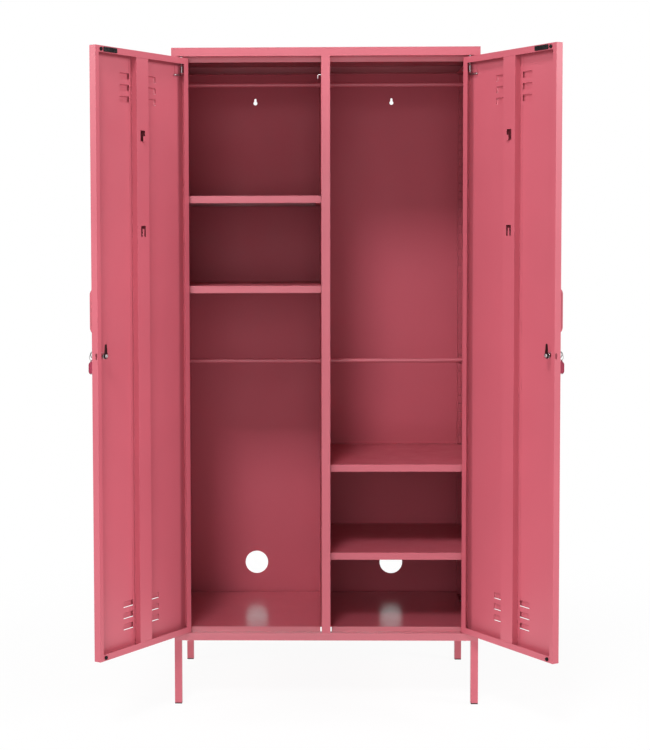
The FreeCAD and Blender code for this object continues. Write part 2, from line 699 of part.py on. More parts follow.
def panel_screw(name, place, low, high, upward):
    """Screw that joins a side wall's flange to the cap or the plinth."""
    head_z = (f"{low} - 1.8", low) if upward else (high, f"{high} + 1.8")
    shank_z = (f"{low} - 1", f"{high} + 5") if upward else (f"{low} - 5", f"{high} + 1")
    head = cylinder(f"{name}_head", "z", "bolt_radius * 1.7", *head_z, place)
    shank = cylinder(f"{name}_shank", "z", "bolt_radius", *shank_z, place)
    return fuse(name, [head, shank])


def make_fasteners():
    bolts = []
    for name, (side_x, side_y) in LEGS.items():
        for index, place in enumerate(leg_bolt_places(side_x, side_y)):
            bolts.append(leg_bolt(f"leg_bolt_{name}_{index}", place))
    group("leg_bolts", bolts)
    screws = []
    for index, place in enumerate(cap_screws()):
        screws.append(panel_screw(f"cap_screw_{index}", place, f"{CAP_LOW} - sheet",
                                  f"{CAP_LOW} + sheet", True))
        screws.append(panel_screw(f"floor_screw_{index}", place, f"{PLINTH_TOP} - sheet",
                                  f"{PLINTH_TOP} + sheet", False))
    group("panel_screws", screws)


def make_hooks():
    """Small bent hook in the side of the centre post."""
    y = f"{FRONT} + post_hook_depth"
    stem = cylinder("hook_stem", "x", "1.5", f"-{POST} - 9", f"-{POST} + 3", (y, "post_hook_z"))
    elbow = sphere("hook_elbow", "1.5", (f"-{POST} - 9", y, "post_hook_z"))
    drop = cylinder("hook_drop", "z", "1.5", "post_hook_z - 10", "post_hook_z", (f"-{POST} - 9", y))
    tip = sphere("hook_tip", "1.5", (f"-{POST} - 9", y, "post_hook_z - 10"))
    collar = cylinder("hook_collar", "x", "3.2", f"-{POST} - 1", f"-{POST}", (y, "post_hook_z"))
    node(fuse("hook_bend", [stem, elbow, drop, tip, collar]), "post_hook")


def make_hinge_seats():
    """Fixed lower pins in the plinth, and bushes in the cap for the upper bolts."""
    pins = []
    bushes = []
    for name, side in SIDES.items():
        place = (f"{-side} * hinge_x", HINGE_Y)
        shank = cylinder(f"{name}_pin_shank", "z", "pin_radius", f"{PLINTH_TOP} - 4", "door_low + 12", place)
        collar = cylinder(f"{name}_pin_collar", "z", "pin_radius + 1", f"{PLINTH_TOP} - sheet - 2",
                          f"{PLINTH_TOP} - sheet", place)
        washer = cylinder(f"{name}_pin_washer", "z", "pin_radius + 2", PLINTH_TOP, "door_low - 0.4", place)
        pins.append(fuse(f"{name}_lower_pin", [shank, collar, washer]))
        sleeve = cylinder(f"{name}_bush_sleeve", "z", "pin_radius + 1", f"{CAP_LOW} - 0.6",
                          f"{CAP_LOW} + 8", place)
        flange = cylinder(f"{name}_bush_flange", "z", "pin_radius + 1.9", f"{CAP_LOW} - 1.2", CAP_LOW, place)
        bore = cylinder(f"{name}_bush_bore", "z", "pin_radius + pin_play", f"{CAP_LOW} - 2",
                        f"{CAP_LOW} + 9", place)
        bushes.append(cut(f"{name}_upper_bush", fuse(f"{name}_bush_body", [sleeve, flange]), [bore]))
    group("lower_hinge_pins", pins)
    group("upper_hinge_bushes", bushes)


# ---------------------------------------------------------------- doors, each in its own frame
def depth(expression):
    """Y in a door's frame, of a depth measured inward from the door's outer face."""
    return f"({expression}) - axis_depth"


def door_box(name, side, reach, deep, z):
    return box(name, span(side, *reach), (depth(deep[0]), depth(deep[1])), z)


def door_bar(name, side, letter, radius, low, high, reach=None, deep=None, z=None):
    """A round bar in a door's frame, along X (reach), Y (depth) or Z."""
    if letter == "x":
        return cylinder(name, "x", radius, *span(side, low, high), (depth(deep), z))
    if letter == "y":
        return cylinder(name, "y", radius, depth(low), depth(high), (f"{side} * ({reach})", z))
    return cylinder(name, "z", radius, low, high, (f"{side} * ({reach})", depth(deep)))


def door_ball(name, side, radius, reach, deep, z):
    return sphere(name, radius, (f"{side} * ({reach})", depth(deep), z))


def hang(item, name, label):
    """Put a finished piece of a door on its hinge and turn it to the open angle."""
    side = SIDES[name]
    item.Placement = Placement(Vector(), Rotation(Vector(0, 0, 1), -side * DIMENSIONS[f"{name}_open"]))
    item.setExpression("Placement.Base.x", bound(f"{-side} * hinge_x"))
    item.setExpression("Placement.Base.y", bound(HINGE_Y))
    return node(item, f"{name}_{label}")


def louvre(name, side, low):
    """Hood of one louvre and the hollow behind it: round-shouldered, and open along its lower edge."""
    shapes = []
    for label, radius, z_low, inner_deep in (("hood", "louvre_rise", low, "sheet / 2"),
                                             ("hollow", "louvre_rise - sheet", f"{low} - 0.6", "sheet + 1")):
        part = f"{name}_{label}"
        near = "louvre_centre - louvre_length / 2 + louvre_rise"
        far = "louvre_centre + louvre_length / 2 - louvre_rise"
        top = f"{low} + louvre_tall - louvre_rise"
        roll = fuse(f"{part}_roll", [
            door_box(f"{part}_face", side, (near, far), (f"-({radius})", inner_deep), (z_low, top)),
            door_bar(f"{part}_top", side, "x", radius, near, far, deep="0", z=top),
            door_bar(f"{part}_near", side, "z", radius, z_low, top, reach=near, deep="0"),
            door_bar(f"{part}_far", side, "z", radius, z_low, top, reach=far, deep="0"),
            door_ball(f"{part}_near_corner", side, radius, near, "0", top),
            door_ball(f"{part}_far_corner", side, radius, far, "0", top),
        ])
        window = door_box(f"{part}_window", side,
                          ("louvre_centre - louvre_length / 2 - 1", "louvre_centre + louvre_length / 2 + 1"),
                          ("-louvre_rise - 1", inner_deep), (z_low, f"{low} + louvre_tall"))
        shapes.append(common(part, roll, window))
    return shapes


def make_door_panel(name, side):
    """Door leaf: a pressed pan with hemmed edges, louvres, and holes for lock and hinges."""
    reach = ("-hinge_edge", "door_reach")
    z = ("door_low", "door_high")
    shell = door_box(f"{name}_door_shell", side, reach, ("0", "door_thick"), z)
    inside = door_box(f"{name}_door_inside", side, ("-hinge_edge + sheet", "door_reach - sheet"),
                      ("sheet", "door_thick - sheet"), ("door_low + sheet", "door_high - sheet"))
    mouth = door_box(f"{name}_door_mouth", side, ("-hinge_edge + hinge_hem", "door_reach - free_hem"),
                     ("door_thick - 2", "door_thick + 1"), ("door_low + end_hem", "door_high - end_hem"))
    pan = cut(f"{name}_door_pan", shell, [inside, mouth])
    hoods = []
    hollows = []
    for index in range(3):
        high = f"door_high - louvre_margin - louvre_tall - {index} * louvre_pitch"
        low = f"door_low + louvre_margin + {index} * louvre_pitch"
        for level, place in (("high", high), ("low", low)):
            hood, hollow = louvre(f"{name}_{level}_louvre_{index}", side, place)
            hoods.append(hood)
            hollows.append(hollow)
    tools = hollows + [
        door_bar(f"{name}_lock_hole", side, "y", "sleeve_radius + 0.2", "-1", "2",
                 reach="lock_reach", z="lock_z"),
        door_bar(f"{name}_top_pin_hole", side, "z", "pin_radius + 0.5", "door_high - 2",
                 "door_high + 1", reach="0", deep="axis_depth"),
        door_bar(f"{name}_low_pin_hole", side, "z", "pin_radius + 1.1", "door_low - 1",
                 "door_low + 2", reach="0", deep="axis_depth"),
        door_box(f"{name}_edge_slot", side, ("door_reach - 2", "door_reach + 1"),
                 ("edge_slot_depth - 3", "edge_slot_depth + 3"), ("lock_z - 5", "lock_z + 5")),
        door_bar(f"{name}_edge_slot_low", side, "x", "3", "door_reach - 2", "door_reach + 1",
                 deep="edge_slot_depth", z="lock_z - 5"),
        door_bar(f"{name}_edge_slot_high", side, "x", "3", "door_reach - 2", "door_reach + 1",
                 deep="edge_slot_depth", z="lock_z + 5"),
    ]
    for end in (-1, 1):
        tools.append(door_bar(f"{name}_handle_hole_{end}", side, "y", "2.2", "-1", "2", reach="lock_reach",
                              z=f"handle_centre + {end} * (handle_tall / 2 - handle_radius)"))
    folds = fuse(f"{name}_door_folds", [pan, *hoods])
    hang(cut(f"{name}_door", folds, tools), name, "door_panel")


def make_stiffener(name, side):
    """Hat-section channel up the middle of the door, with two lanced hooks."""
    low_s = "stiffener_centre - stiffener_width / 2"
    high_s = "stiffener_centre + stiffener_width / 2"
    foot = depth("sheet + 0.05")
    foot_top = depth("2 * sheet + 0.05")
    face = depth("door_thick - sheet")
    lining = depth("door_thick - 2 * sheet")
    corners = [
        (f"{low_s} - stiffener_foot", foot), (f"{low_s} + sheet", foot),
        (f"{low_s} + sheet", lining), (f"{high_s} - sheet", lining),
        (f"{high_s} - sheet", foot), (f"{high_s} + stiffener_foot", foot),
        (f"{high_s} + stiffener_foot", foot_top), (high_s, foot_top),
        (high_s, face), (low_s, face),
        (low_s, foot_top), (f"{low_s} - stiffener_foot", foot_top),
    ]
    channel = profile_body(f"{name}_stiffener", mirrored(corners, side),
                           "door_low + sheet + 0.3", "door_high - sheet - 0.3")
    tools = []
    tongues = []
    for level, half in (("upper", "5"), ("lower", "3.5")):
        middle = f"{level}_hook"
        window = (f"{middle} - hook_tall / 2", f"{middle} + hook_tall / 2")
        across = (f"stiffener_centre - {half}", f"stiffener_centre + {half}")
        tools.append(door_box(f"{name}_{level}_hook_hole", side,
                              ("stiffener_centre - hook_width / 2", "stiffener_centre + hook_width / 2"),
                              ("door_thick - 4", "door_thick + 1"), window))
        if level == "lower":
            tongues.append(door_box(f"{name}_{level}_tongue", side, across,
                                    ("door_thick - 2 * sheet", "door_thick - sheet"),
                                    (f"{window[0]} - sheet", f"{window[1]} - 8")))
            continue
        tongues.append(door_box(f"{name}_{level}_tongue_root", side, across,
                                ("door_thick - 2 * sheet", "door_thick + 5"),
                                (f"{window[0]} - sheet", window[0])))
        tongues.append(door_box(f"{name}_{level}_tongue", side, across,
                                ("door_thick + 5 - sheet", "door_thick + 5"),
                                (f"{window[0]} - sheet", f"{window[0]} + 14")))
    holed = cut(f"{name}_stiffener_holed", channel, tools)
    hang(fuse(f"{name}_stiffener_done", [holed, *tongues]), name, "door_stiffener")


def make_handle(name, side):
    """Bow handle: two feet, two quarter bends and a straight grip, all one round bar."""
    pieces = []
    reach = "lock_reach"
    grip_deep = "-handle_stand"
    for end, sign in (("low", -1), ("high", 1)):
        z = f"handle_centre + {sign} * (handle_tall / 2 - handle_radius)"
        inner_z = f"handle_centre + {sign} * (handle_tall / 2 - handle_radius - handle_bend)"
        pieces.append(door_bar(f"{name}_handle_leg_{end}", side, "y", "handle_radius",
                               "-handle_stand + handle_bend", "-0.02", reach=reach, z=z))
        bend = doc.addObject("Part::Torus", f"{name}_handle_bend_{end}")
        bend.setExpression("Radius1", bound("handle_bend"))
        bend.setExpression("Radius2", bound("handle_radius"))
        bend.Angle3 = 90
        frame = FreeCAD.Matrix(0, 0, -sign, 0, -1, 0, 0, 0, 0, sign, 0, 0, 0, 0, 0, 1)
        bend.Placement = Placement(frame)
        bend.setExpression("Placement.Base.x", bound(f"{side} * ({reach})"))
        bend.setExpression("Placement.Base.y", bound(depth("-handle_stand + handle_bend")))
        bend.setExpression("Placement.Base.z", bound(inner_z))
        pieces.append(bend)
        pieces.append(door_bar(f"{name}_handle_stud_{end}", side, "y", "2", "-1", "6", reach=reach, z=z))
        pieces.append(door_bar(f"{name}_handle_nut_{end}", side, "y", "4", "sheet", "4", reach=reach, z=z))
    pieces.append(door_bar(f"{name}_handle_grip", side, "z", "handle_radius",
                           "handle_centre - handle_tall / 2 + handle_radius + handle_bend",
                           "handle_centre + handle_tall / 2 - handle_radius - handle_bend",
                           reach=reach, deep=grip_deep))
    hang(fuse(f"{name}_handle_bow", pieces), name, "door_handle")


def make_hinge_hardware(name, side):
    """Upper hinge: a bracket with two ears, a sprung bolt with a bent tail, and its coil."""
    ear_z = {"high": ("door_high - end_hem - 4", "door_high - end_hem - 2.5"),
             "low": ("bolt_bottom + 4.5", "bolt_bottom + 6")}
    pieces = [door_box(f"{name}_bracket_plate", side, ("4.3", "27"), ("sheet + 0.02", "sheet + 1.22"),
                       (ear_z["low"][0], ear_z["high"][1]))]
    for level, z in ear_z.items():
        pieces.append(door_box(f"{name}_bracket_ear_{level}", side, ("-7.5", "8"), ("sheet + 0.02", "13"), z))
    bores = [door_bar(f"{name}_bracket_bore", side, "z", "pin_radius + pin_play", "bolt_bottom",
                      "door_high", reach="0", deep="axis_depth")]
    hang(cut(f"{name}_bracket", fuse(f"{name}_bracket_body", pieces), bores), name, "hinge_bracket")
    collar_z = ("bolt_bottom + 23", "bolt_bottom + 24.5")
    bolt = [
        door_bar(f"{name}_bolt_shank", side, "z", "pin_radius", "bolt_bottom", "bolt_top - 2",
                 reach="0", deep="axis_depth"),
        door_bar(f"{name}_bolt_nose", side, "z", "pin_radius - 0.6", "bolt_top - 3", "bolt_top",
                 reach="0", deep="axis_depth"),
        door_ball(f"{name}_bolt_elbow", side, "pin_radius", "0", "axis_depth", "bolt_bottom"),
        door_bar(f"{name}_bolt_tail", side, "x", "pin_radius", "0", "tail_length",
                 deep="axis_depth", z="bolt_bottom"),
        door_ball(f"{name}_bolt_end", side, "pin_radius", "tail_length", "axis_depth", "bolt_bottom"),
        door_bar(f"{name}_bolt_collar", side, "z", "pin_radius + 0.9", *collar_z,
                 reach="0", deep="axis_depth"),
    ]
    hang(fuse(f"{name}_bolt", bolt), name, "hinge_bolt")
    coil = []
    coil_low = value_of(ear_z["low"][1]) + 0.8
    coil_high = value_of(collar_z[0]) - 0.6
    coil_turns = 5
    wire = 0.35
    pitch = (coil_high - coil_low) / coil_turns
    helix = Part.makeHelix(pitch, coil_high - coil_low, value_of("pin_radius") + 0.55)
    start = helix.Edges[0].valueAt(helix.Edges[0].FirstParameter)
    tangent = helix.Edges[0].tangentAt(helix.Edges[0].FirstParameter)
    section = Part.Wire([Part.Edge(Part.Circle(start, tangent, wire))])
    spring = doc.addObject("Part::Feature", f"{name}_coil")
    spring.Shape = Part.Wire(helix.Edges).makePipeShell([section], True, True)
    turn = Rotation(Vector(0, 0, 1), -side * DIMENSIONS[f"{name}_open"])
    spring.Placement = Placement(Vector(-side * value_of("hinge_x"), value_of(HINGE_Y), coil_low), turn)
    node(spring, f"{name}_hinge_spring")
    sleeve = [
        door_bar(f"{name}_lower_bush_sleeve", side, "z", "pin_radius + 1", "door_low - 0.2",
                 "door_low + 9", reach="0", deep="axis_depth"),
        door_box(f"{name}_lower_bush_seat", side, ("-hinge_edge + sheet + 0.1", "12"),
                 ("sheet + 0.02", "door_thick - sheet - 0.1"), ("door_low + sheet", "door_low + 3")),
    ]
    bore = door_bar(f"{name}_lower_bush_bore", side, "z", "pin_radius + pin_play", "door_low - 1",
                    "door_low + 13", reach="0", deep="axis_depth")
    hang(cut(f"{name}_lower_bush", fuse(f"{name}_lower_bush_body", sleeve), [bore]), name, "lower_hinge_bush")


def make_lock(name, side):
    """Cam lock at mid height: sleeve and flange, back nut, turning barrel, cam and key."""
    at_lock = {"reach": "lock_reach", "z": "lock_z"}
    sleeve = [
        door_bar(f"{name}_lock_flange", side, "y", "sleeve_radius + 2.5", "-3", "-0.02", **at_lock),
        door_bar(f"{name}_lock_sleeve", side, "y", "sleeve_radius", "-1", "cam_depth - 1.6", **at_lock),
    ]
    bore = door_bar(f"{name}_lock_bore", side, "y", "barrel_radius + pin_play", "-4", "cam_depth", **at_lock)
    hang(cut(f"{name}_lock_shell", fuse(f"{name}_lock_outer", sleeve), [bore]), name, "lock_body")

    nut = doc.addObject("Part::Prism", f"{name}_nut_block")
    nut.Polygon = 6
    nut.Circumradius = value_of("sleeve_radius") + 3.6
    nut.Height = 4.5
    nut.Placement = Placement(Vector(), TURNS["y"])
    nut.setExpression("Placement.Base.x", bound(f"{side} * lock_reach"))
    nut.setExpression("Placement.Base.y", bound(depth("sheet + 0.02")))
    nut.setExpression("Placement.Base.z", bound("lock_z"))
    nut_bore = door_bar(f"{name}_nut_bore", side, "y", "sleeve_radius + 0.02", "0", "8", **at_lock)
    hang(cut(f"{name}_nut", nut, [nut_bore]), name, "lock_nut")

    barrel = [
        door_bar(f"{name}_barrel_core", side, "y", "barrel_radius", "-2.6", "cam_depth - 0.8", **at_lock),
        door_box(f"{name}_barrel_tang", side, ("lock_reach - 3", "lock_reach + 3"),
                 ("cam_depth - 1", "cam_depth + cam_thick + 1.4"), ("lock_z - 3", "lock_z + 3")),
    ]
    keyway = door_box(f"{name}_keyway", side,
                      ("lock_reach - key_thick / 2 - 0.1", "lock_reach + key_thick / 2 + 0.1"),
                      ("-4", "17.5"), ("lock_z - key_width / 2 - 0.1", "lock_z + key_width / 2 + 0.1"))
    hang(cut(f"{name}_barrel", fuse(f"{name}_barrel_body", barrel), [keyway]), name, "lock_barrel")

    cam_deep = ("cam_depth", "cam_depth + cam_thick")
    cam = [
        door_bar(f"{name}_cam_hub", side, "y", "cam_width / 2 + 1.5", *cam_deep, **at_lock),
        door_box(f"{name}_cam_arm", side, ("lock_reach - cam_width / 2", "lock_reach + cam_width / 2"),
                 cam_deep, ("lock_z", "lock_z + cam_length - cam_width / 2")),
        door_bar(f"{name}_cam_tip", side, "y", "cam_width / 2", *cam_deep, reach="lock_reach",
                 z="lock_z + cam_length - cam_width / 2"),
    ]
    cam_hole = door_box(f"{name}_cam_hole", side, ("lock_reach - 3.03", "lock_reach + 3.03"),
                        ("cam_depth - 1", "cam_depth + cam_thick + 1"), ("lock_z - 3.03", "lock_z + 3.03"))
    hang(cut(f"{name}_cam", fuse(f"{name}_cam_body", cam), [cam_hole]), name, "lock_cam")
    make_key(name, side)


KEY_EYE_Z = "lock_z + 6"
KEY_EYE_DEEP = "-bow_depth - 3"


def make_key(name, side):
    """Flat key in the barrel, with a split ring through its eye and a fob on the ring."""
    thick = ("lock_reach - key_thick / 2", "lock_reach + key_thick / 2")
    key = [
        door_box(f"{name}_key_blade", side, thick, ("-bow_depth", "16"),
                 ("lock_z - key_width / 2", "lock_z + key_width / 2")),
        door_bar(f"{name}_key_bow", side, "x", "bow_radius", *thick, deep="-bow_depth", z="lock_z + 1.5"),
    ]
    eye = door_bar(f"{name}_key_eye", side, "x", "ring_wire + 1.3", "lock_reach - 3", "lock_reach + 3",
                   deep=KEY_EYE_DEEP, z=KEY_EYE_Z)
    hang(cut(f"{name}_key_cut", fuse(f"{name}_key_body", key), [eye]), name, "key")

    ring = doc.addObject("Part::Torus", f"{name}_ring_hoop")
    ring.setExpression("Radius1", bound("ring_radius"))
    ring.setExpression("Radius2", bound("ring_wire"))
    ring.Placement = Placement(Vector(), TURNS["y"])
    ring.setExpression("Placement.Base.x", bound(f"{side} * lock_reach"))
    ring.setExpression("Placement.Base.y", bound(depth(KEY_EYE_DEEP)))
    ring.setExpression("Placement.Base.z", bound(f"{KEY_EYE_Z} - ring_radius"))
    hoop = doc.addObject("Part::Compound", f"{name}_ring")
    hoop.Links = [ring]
    hang(hoop, name, "key_ring")

    eye_z = f"{KEY_EYE_Z} - 2 * ring_radius - 0.7"
    half = "fob_width / 2"
    thick = ("lock_reach - fob_thick / 2", "lock_reach + fob_thick / 2")
    top_z = f"{eye_z} + 2.9"
    fob = [
        door_bar(f"{name}_fob_head", side, "x", "4.4", *thick, deep=KEY_EYE_DEEP, z=f"{eye_z} - 1.5"),
        door_bar(f"{name}_fob_top", side, "x", half, *thick, deep=KEY_EYE_DEEP, z=f"{top_z} - 3 - {half}"),
        door_bar(f"{name}_fob_bottom", side, "x", half, *thick, deep=KEY_EYE_DEEP,
                 z=f"{top_z} - fob_tall + {half}"),
        door_box(f"{name}_fob_middle", side, thick,
                 (f"{KEY_EYE_DEEP} - {half}", f"{KEY_EYE_DEEP} + {half}"),
                 (f"{top_z} - fob_tall + {half}", f"{top_z} - 3 - {half}")),
    ]
    hole = door_bar(f"{name}_fob_eye", side, "x", "1.8", "lock_reach - 3", "lock_reach + 3",
                    deep=KEY_EYE_DEEP, z=eye_z)
    hang(cut(f"{name}_fob", fuse(f"{name}_fob_body", fob), [hole]), name, "key_fob")


def make_door_trim(name, side):
    """Two rubber bumpers at the free corners and a plain magnetic catch at the top."""
    bumpers = []
    for level, z in (("low", "door_low + end_hem / 2"), ("high", "door_high - end_hem / 2 - 0.5")):
        pad_disc = door_bar(f"{name}_{level}_bumper_pad", side, "y", "5", "door_thick + 0.02",
                            "door_thick + 4", reach="door_reach - 21.5", z=z)
        bumpers.append(pad_disc)
    pair = doc.addObject("Part::Compound", f"{name}_bumpers")
    pair.Links = bumpers
    hang(pair, name, "door_bumpers")
    catch = door_box(f"{name}_catch_block", side, ("door_reach - 84", "door_reach - 32"),
                     ("door_thick + 0.02", "door_thick + 3.4"),
                     ("door_high - end_hem / 2 - 6.2", "door_high - end_hem / 2 + 5.8"))
    holder = doc.addObject("Part::Compound", f"{name}_catch")
    holder.Links = [catch]
    hang(holder, name, "magnet_catch")


# ---------------------------------------------------------------- build
make_top()
make_base()
for side_name, side_sign in SIDES.items():
    make_side(side_name, side_sign)
make_back()
make_centre_post()
make_divider()
group("slotted_uprights", [make_upright(f"{side_name}_{end}_upright", side_sign, end == "front")
                           for side_name, side_sign in SIDES.items() for end in ("front", "rear")])
for leg_name, leg_sides in LEGS.items():
    make_leg(leg_name, *leg_sides)
group("foot_caps", [foot_cap(leg_name, *leg_sides) for leg_name, leg_sides in LEGS.items()])
for shelf_name, side_sign in SHELVES.items():
    make_shelf(shelf_name, side_sign)
shelf_clip_list = [clip for shelf_name, side_sign in SHELVES.items()
                   for clip in shelf_clips(shelf_name, side_sign)]
group("shelf_clips", shelf_clip_list + spare_clips())
for rail in RAILS:
    make_rail(*rail)
group("rail_sockets", [cup for rail in RAILS for cup in rail_sockets(*rail)])
make_fasteners()
make_hooks()
make_hinge_seats()
for side_name, side_sign in SIDES.items():
    make_door_panel(side_name, side_sign)
    make_stiffener(side_name, side_sign)
    make_handle(side_name, side_sign)
    make_hinge_hardware(side_name, side_sign)
    make_lock(side_name, side_sign)
    make_door_trim(side_name, side_sign)

doc.recompute()

# ---------------------------------------------------------------- check and write
for item in doc.Objects:
    if "Invalid" in item.State or "Error" in item.State:
        raise RuntimeError(f"{item.Name} did not compute: {item.State}")
for item in NODES:
    if item.Shape.isNull() or not item.Shape.isValid() or not item.Shape.Solids:
        raise RuntimeError(f"{item.Label} has no valid solid")

os.makedirs("parts", exist_ok=True)
for item in NODES:
    item.Shape.exportStep(os.path.join("parts", f"{item.Label}.step"))
    print(f"{item.Label:24s} solids {len(item.Shape.Solids):3d}  volume {item.Shape.Volume / 1000:9.2f} cm3")
print(len(NODES), "nodes")
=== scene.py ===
import json
import math

import bmesh
import bpy
from mathutils import Matrix, Vector


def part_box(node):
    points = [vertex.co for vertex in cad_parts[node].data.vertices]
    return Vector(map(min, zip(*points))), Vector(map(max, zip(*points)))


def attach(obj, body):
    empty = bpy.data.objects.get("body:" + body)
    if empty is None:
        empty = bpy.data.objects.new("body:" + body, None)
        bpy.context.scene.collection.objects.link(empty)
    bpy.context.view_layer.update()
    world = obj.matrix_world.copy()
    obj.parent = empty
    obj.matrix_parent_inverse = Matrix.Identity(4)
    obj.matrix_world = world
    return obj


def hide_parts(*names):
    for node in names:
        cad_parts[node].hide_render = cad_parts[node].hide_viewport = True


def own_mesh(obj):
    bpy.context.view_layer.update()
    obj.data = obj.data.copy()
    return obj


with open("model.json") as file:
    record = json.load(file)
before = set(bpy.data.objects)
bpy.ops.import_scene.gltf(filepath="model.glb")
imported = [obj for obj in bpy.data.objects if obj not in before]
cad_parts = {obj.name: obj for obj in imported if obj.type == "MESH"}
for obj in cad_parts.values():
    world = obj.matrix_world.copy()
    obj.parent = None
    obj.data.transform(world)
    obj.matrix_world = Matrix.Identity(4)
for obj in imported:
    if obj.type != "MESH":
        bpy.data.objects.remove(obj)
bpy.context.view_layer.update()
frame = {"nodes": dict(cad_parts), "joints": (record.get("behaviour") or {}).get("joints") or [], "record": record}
MM = 0.001
TURN = 2 * math.pi
JOINTS = {joint["name"]: joint for joint in frame["joints"]}
BODIES = frame["record"]["behaviour"]["bodies"]
BODY_OF = {node: body for body, nodes in BODIES.items() for node in nodes}
SLOT_OF = {part["node"]: part["material_slot"] for part in frame["record"]["subparts"]}
# Which way along X, in a door's own frame, its free edge lies from the hinge pin.
SIDES = {"left": 1, "right": -1}

# Millimetres from a door's outer face: inward to its hinge pin, its inner face and the cam, and outward to
# the middle of its handle's grip. Then the cam's thickness.
AXIS_DEPTH = 4.5
DOOR_THICK = 20.0
HANDLE_STAND = 24.5
CAM_DEPTH = 21.4
CAM_THICK = 2.0
SPACING = 0.00001  # points closer together than this, in metres, are the same point


# ---------------------------------------------------------------- camera
def make_camera():
    """A long lens at chest height, a little left of the middle."""
    data = bpy.data.cameras.new("view")
    data.sensor_width = 36.0
    data.lens = 77.06
    data.shift_x = 0.0667
    data.shift_y = -0.0643
    data.clip_end = 60
    camera = bpy.data.objects.new("view", data)
    heading = Matrix.Rotation(math.radians(1.016), 4, "Z")
    tilt = Matrix.Rotation(math.radians(90 - 3.086), 4, "X")
    roll = Matrix.Rotation(math.radians(-0.153), 4, "Z")
    spot = Matrix.Translation((-0.0622, -4.6961, 1.3005))
    camera.matrix_world = spot @ heading @ tilt @ roll
    bpy.context.scene.collection.objects.link(camera)
    bpy.context.scene.camera = camera


# ---------------------------------------------------------------- materials
class Nodes:
    """Short way to write a node tree: calling it adds a node, and link joins two sockets."""

    def __init__(self, name):
        self.material = bpy.data.materials.new(name)
        self.material.use_nodes = True
        self.tree = self.material.node_tree
        self.tree.nodes.clear()

    def __call__(self, kind, **settings):
        item = self.tree.nodes.new(kind)
        for key, value in settings.items():
            if key in item.inputs:
                item.inputs[key].default_value = value
            else:
                setattr(item, key, value)
        return item

    def link(self, source, output, target, entry):
        self.tree.links.new(source.outputs[output], target.inputs[entry])


def start(name):
    """A material with its shader, output and object coordinates."""
    n = Nodes(name)
    shader = n("ShaderNodeBsdfPrincipled")
    output = n("ShaderNodeOutputMaterial")
    n.link(shader, "BSDF", output, "Surface")
    return n, shader, n("ShaderNodeTexCoord")


def noise(n, coords, scale, detail=3.0, rough=0.5, stretch=None):
    item = n("ShaderNodeTexNoise")
    item.inputs["Scale"].default_value = scale
    item.inputs["Detail"].default_value = detail
    item.inputs["Roughness"].default_value = rough
    source, socket = coords, "Object"
    if stretch:
        mapping = n("ShaderNodeMapping")
        mapping.inputs["Scale"].default_value = stretch
        n.link(coords, "Object", mapping, "Vector")
        source, socket = mapping, "Vector"
    n.link(source, socket, item, "Vector")
    return item


def span(n, source, low, high, output="Fac"):
    """The source's middle range mapped to low..high."""
    item = n("ShaderNodeMapRange")
    item.inputs["From Min"].default_value = 0.3
    item.inputs["From Max"].default_value = 0.7
    item.inputs["To Min"].default_value = low
    item.inputs["To Max"].default_value = high
    n.link(source, output, item, "Value")
    return item


def mixed(n, factor, output, first, second):
    item = n("ShaderNodeMix")
    item.data_type = "RGBA"
    item.inputs[6].default_value = (*first, 1)
    item.inputs[7].default_value = (*second, 1)
    n.link(factor, output, item, 0)
    return item


def bumped(n, shader, height, output, strength, distance):
    item = n("ShaderNodeBump")
    item.inputs["Strength"].default_value = strength
    item.inputs["Distance"].default_value = distance
    n.link(height, output, item, "Height")
    n.link(item, "Normal", shader, "Normal")


def painted(name, colour, rough=0.38, coat=0.05, specular=0.5, peel_bump=0.07):
    """Satin powder coat: fine orange peel, a faint speckle, and soft drifts of tone and gloss."""
    n, shader, coords = start(name)
    drift = noise(n, coords, 3.1, 2.0)
    speckle = noise(n, coords, 900.0, 2.0, 0.6)
    tone = n("ShaderNodeMath", operation="MULTIPLY_ADD")
    n.link(speckle, "Fac", tone, 0)
    tone.inputs[1].default_value = 0.35
    n.link(drift, "Fac", tone, 2)
    light = [min(1.0, c * 1.04) for c in colour]
    dark = [c * 0.95 for c in colour]
    ramp = span(n, tone, 0.0, 1.0, "Value")
    ramp.inputs["From Min"].default_value = 0.45
    ramp.inputs["From Max"].default_value = 0.95
    blend = mixed(n, ramp, "Result", dark, light)
    n.link(blend, 2, shader, "Base Color")
    smudge = noise(n, coords, 14.0, 5.0, 0.6)
    gloss = span(n, smudge, rough - 0.04, rough + 0.06)
    n.link(gloss, "Result", shader, "Roughness")
    peel = noise(n, coords, 420.0, 3.0, 0.55)
    bumped(n, shader, peel, "Fac", peel_bump, 0.0004)
    shader.inputs["Specular IOR Level"].default_value = specular
    shader.inputs["Coat Weight"].default_value = coat
    shader.inputs["Coat Roughness"].default_value = 0.2
    return n.material


def metal(name, colour, rough, stretch=(1, 1, 40), scale=60.0, bump=0.1):
    """Plated steel with fine drawn lines and a little tarnish."""
    n, shader, coords = start(name)
    shader.inputs["Metallic"].default_value = 1.0
    lines = noise(n, coords, scale, 4.0, 0.6, stretch)
    haze = noise(n, coords, 35.0, 3.0, 0.6)
    blend = mixed(n, haze, "Fac", [c * 0.78 for c in colour], colour)
    n.link(blend, 2, shader, "Base Color")
    gloss = span(n, lines, rough * 0.75, rough * 1.35)
    n.link(gloss, "Result", shader, "Roughness")
    bumped(n, shader, lines, "Fac", bump, 0.0002)
    return n.material


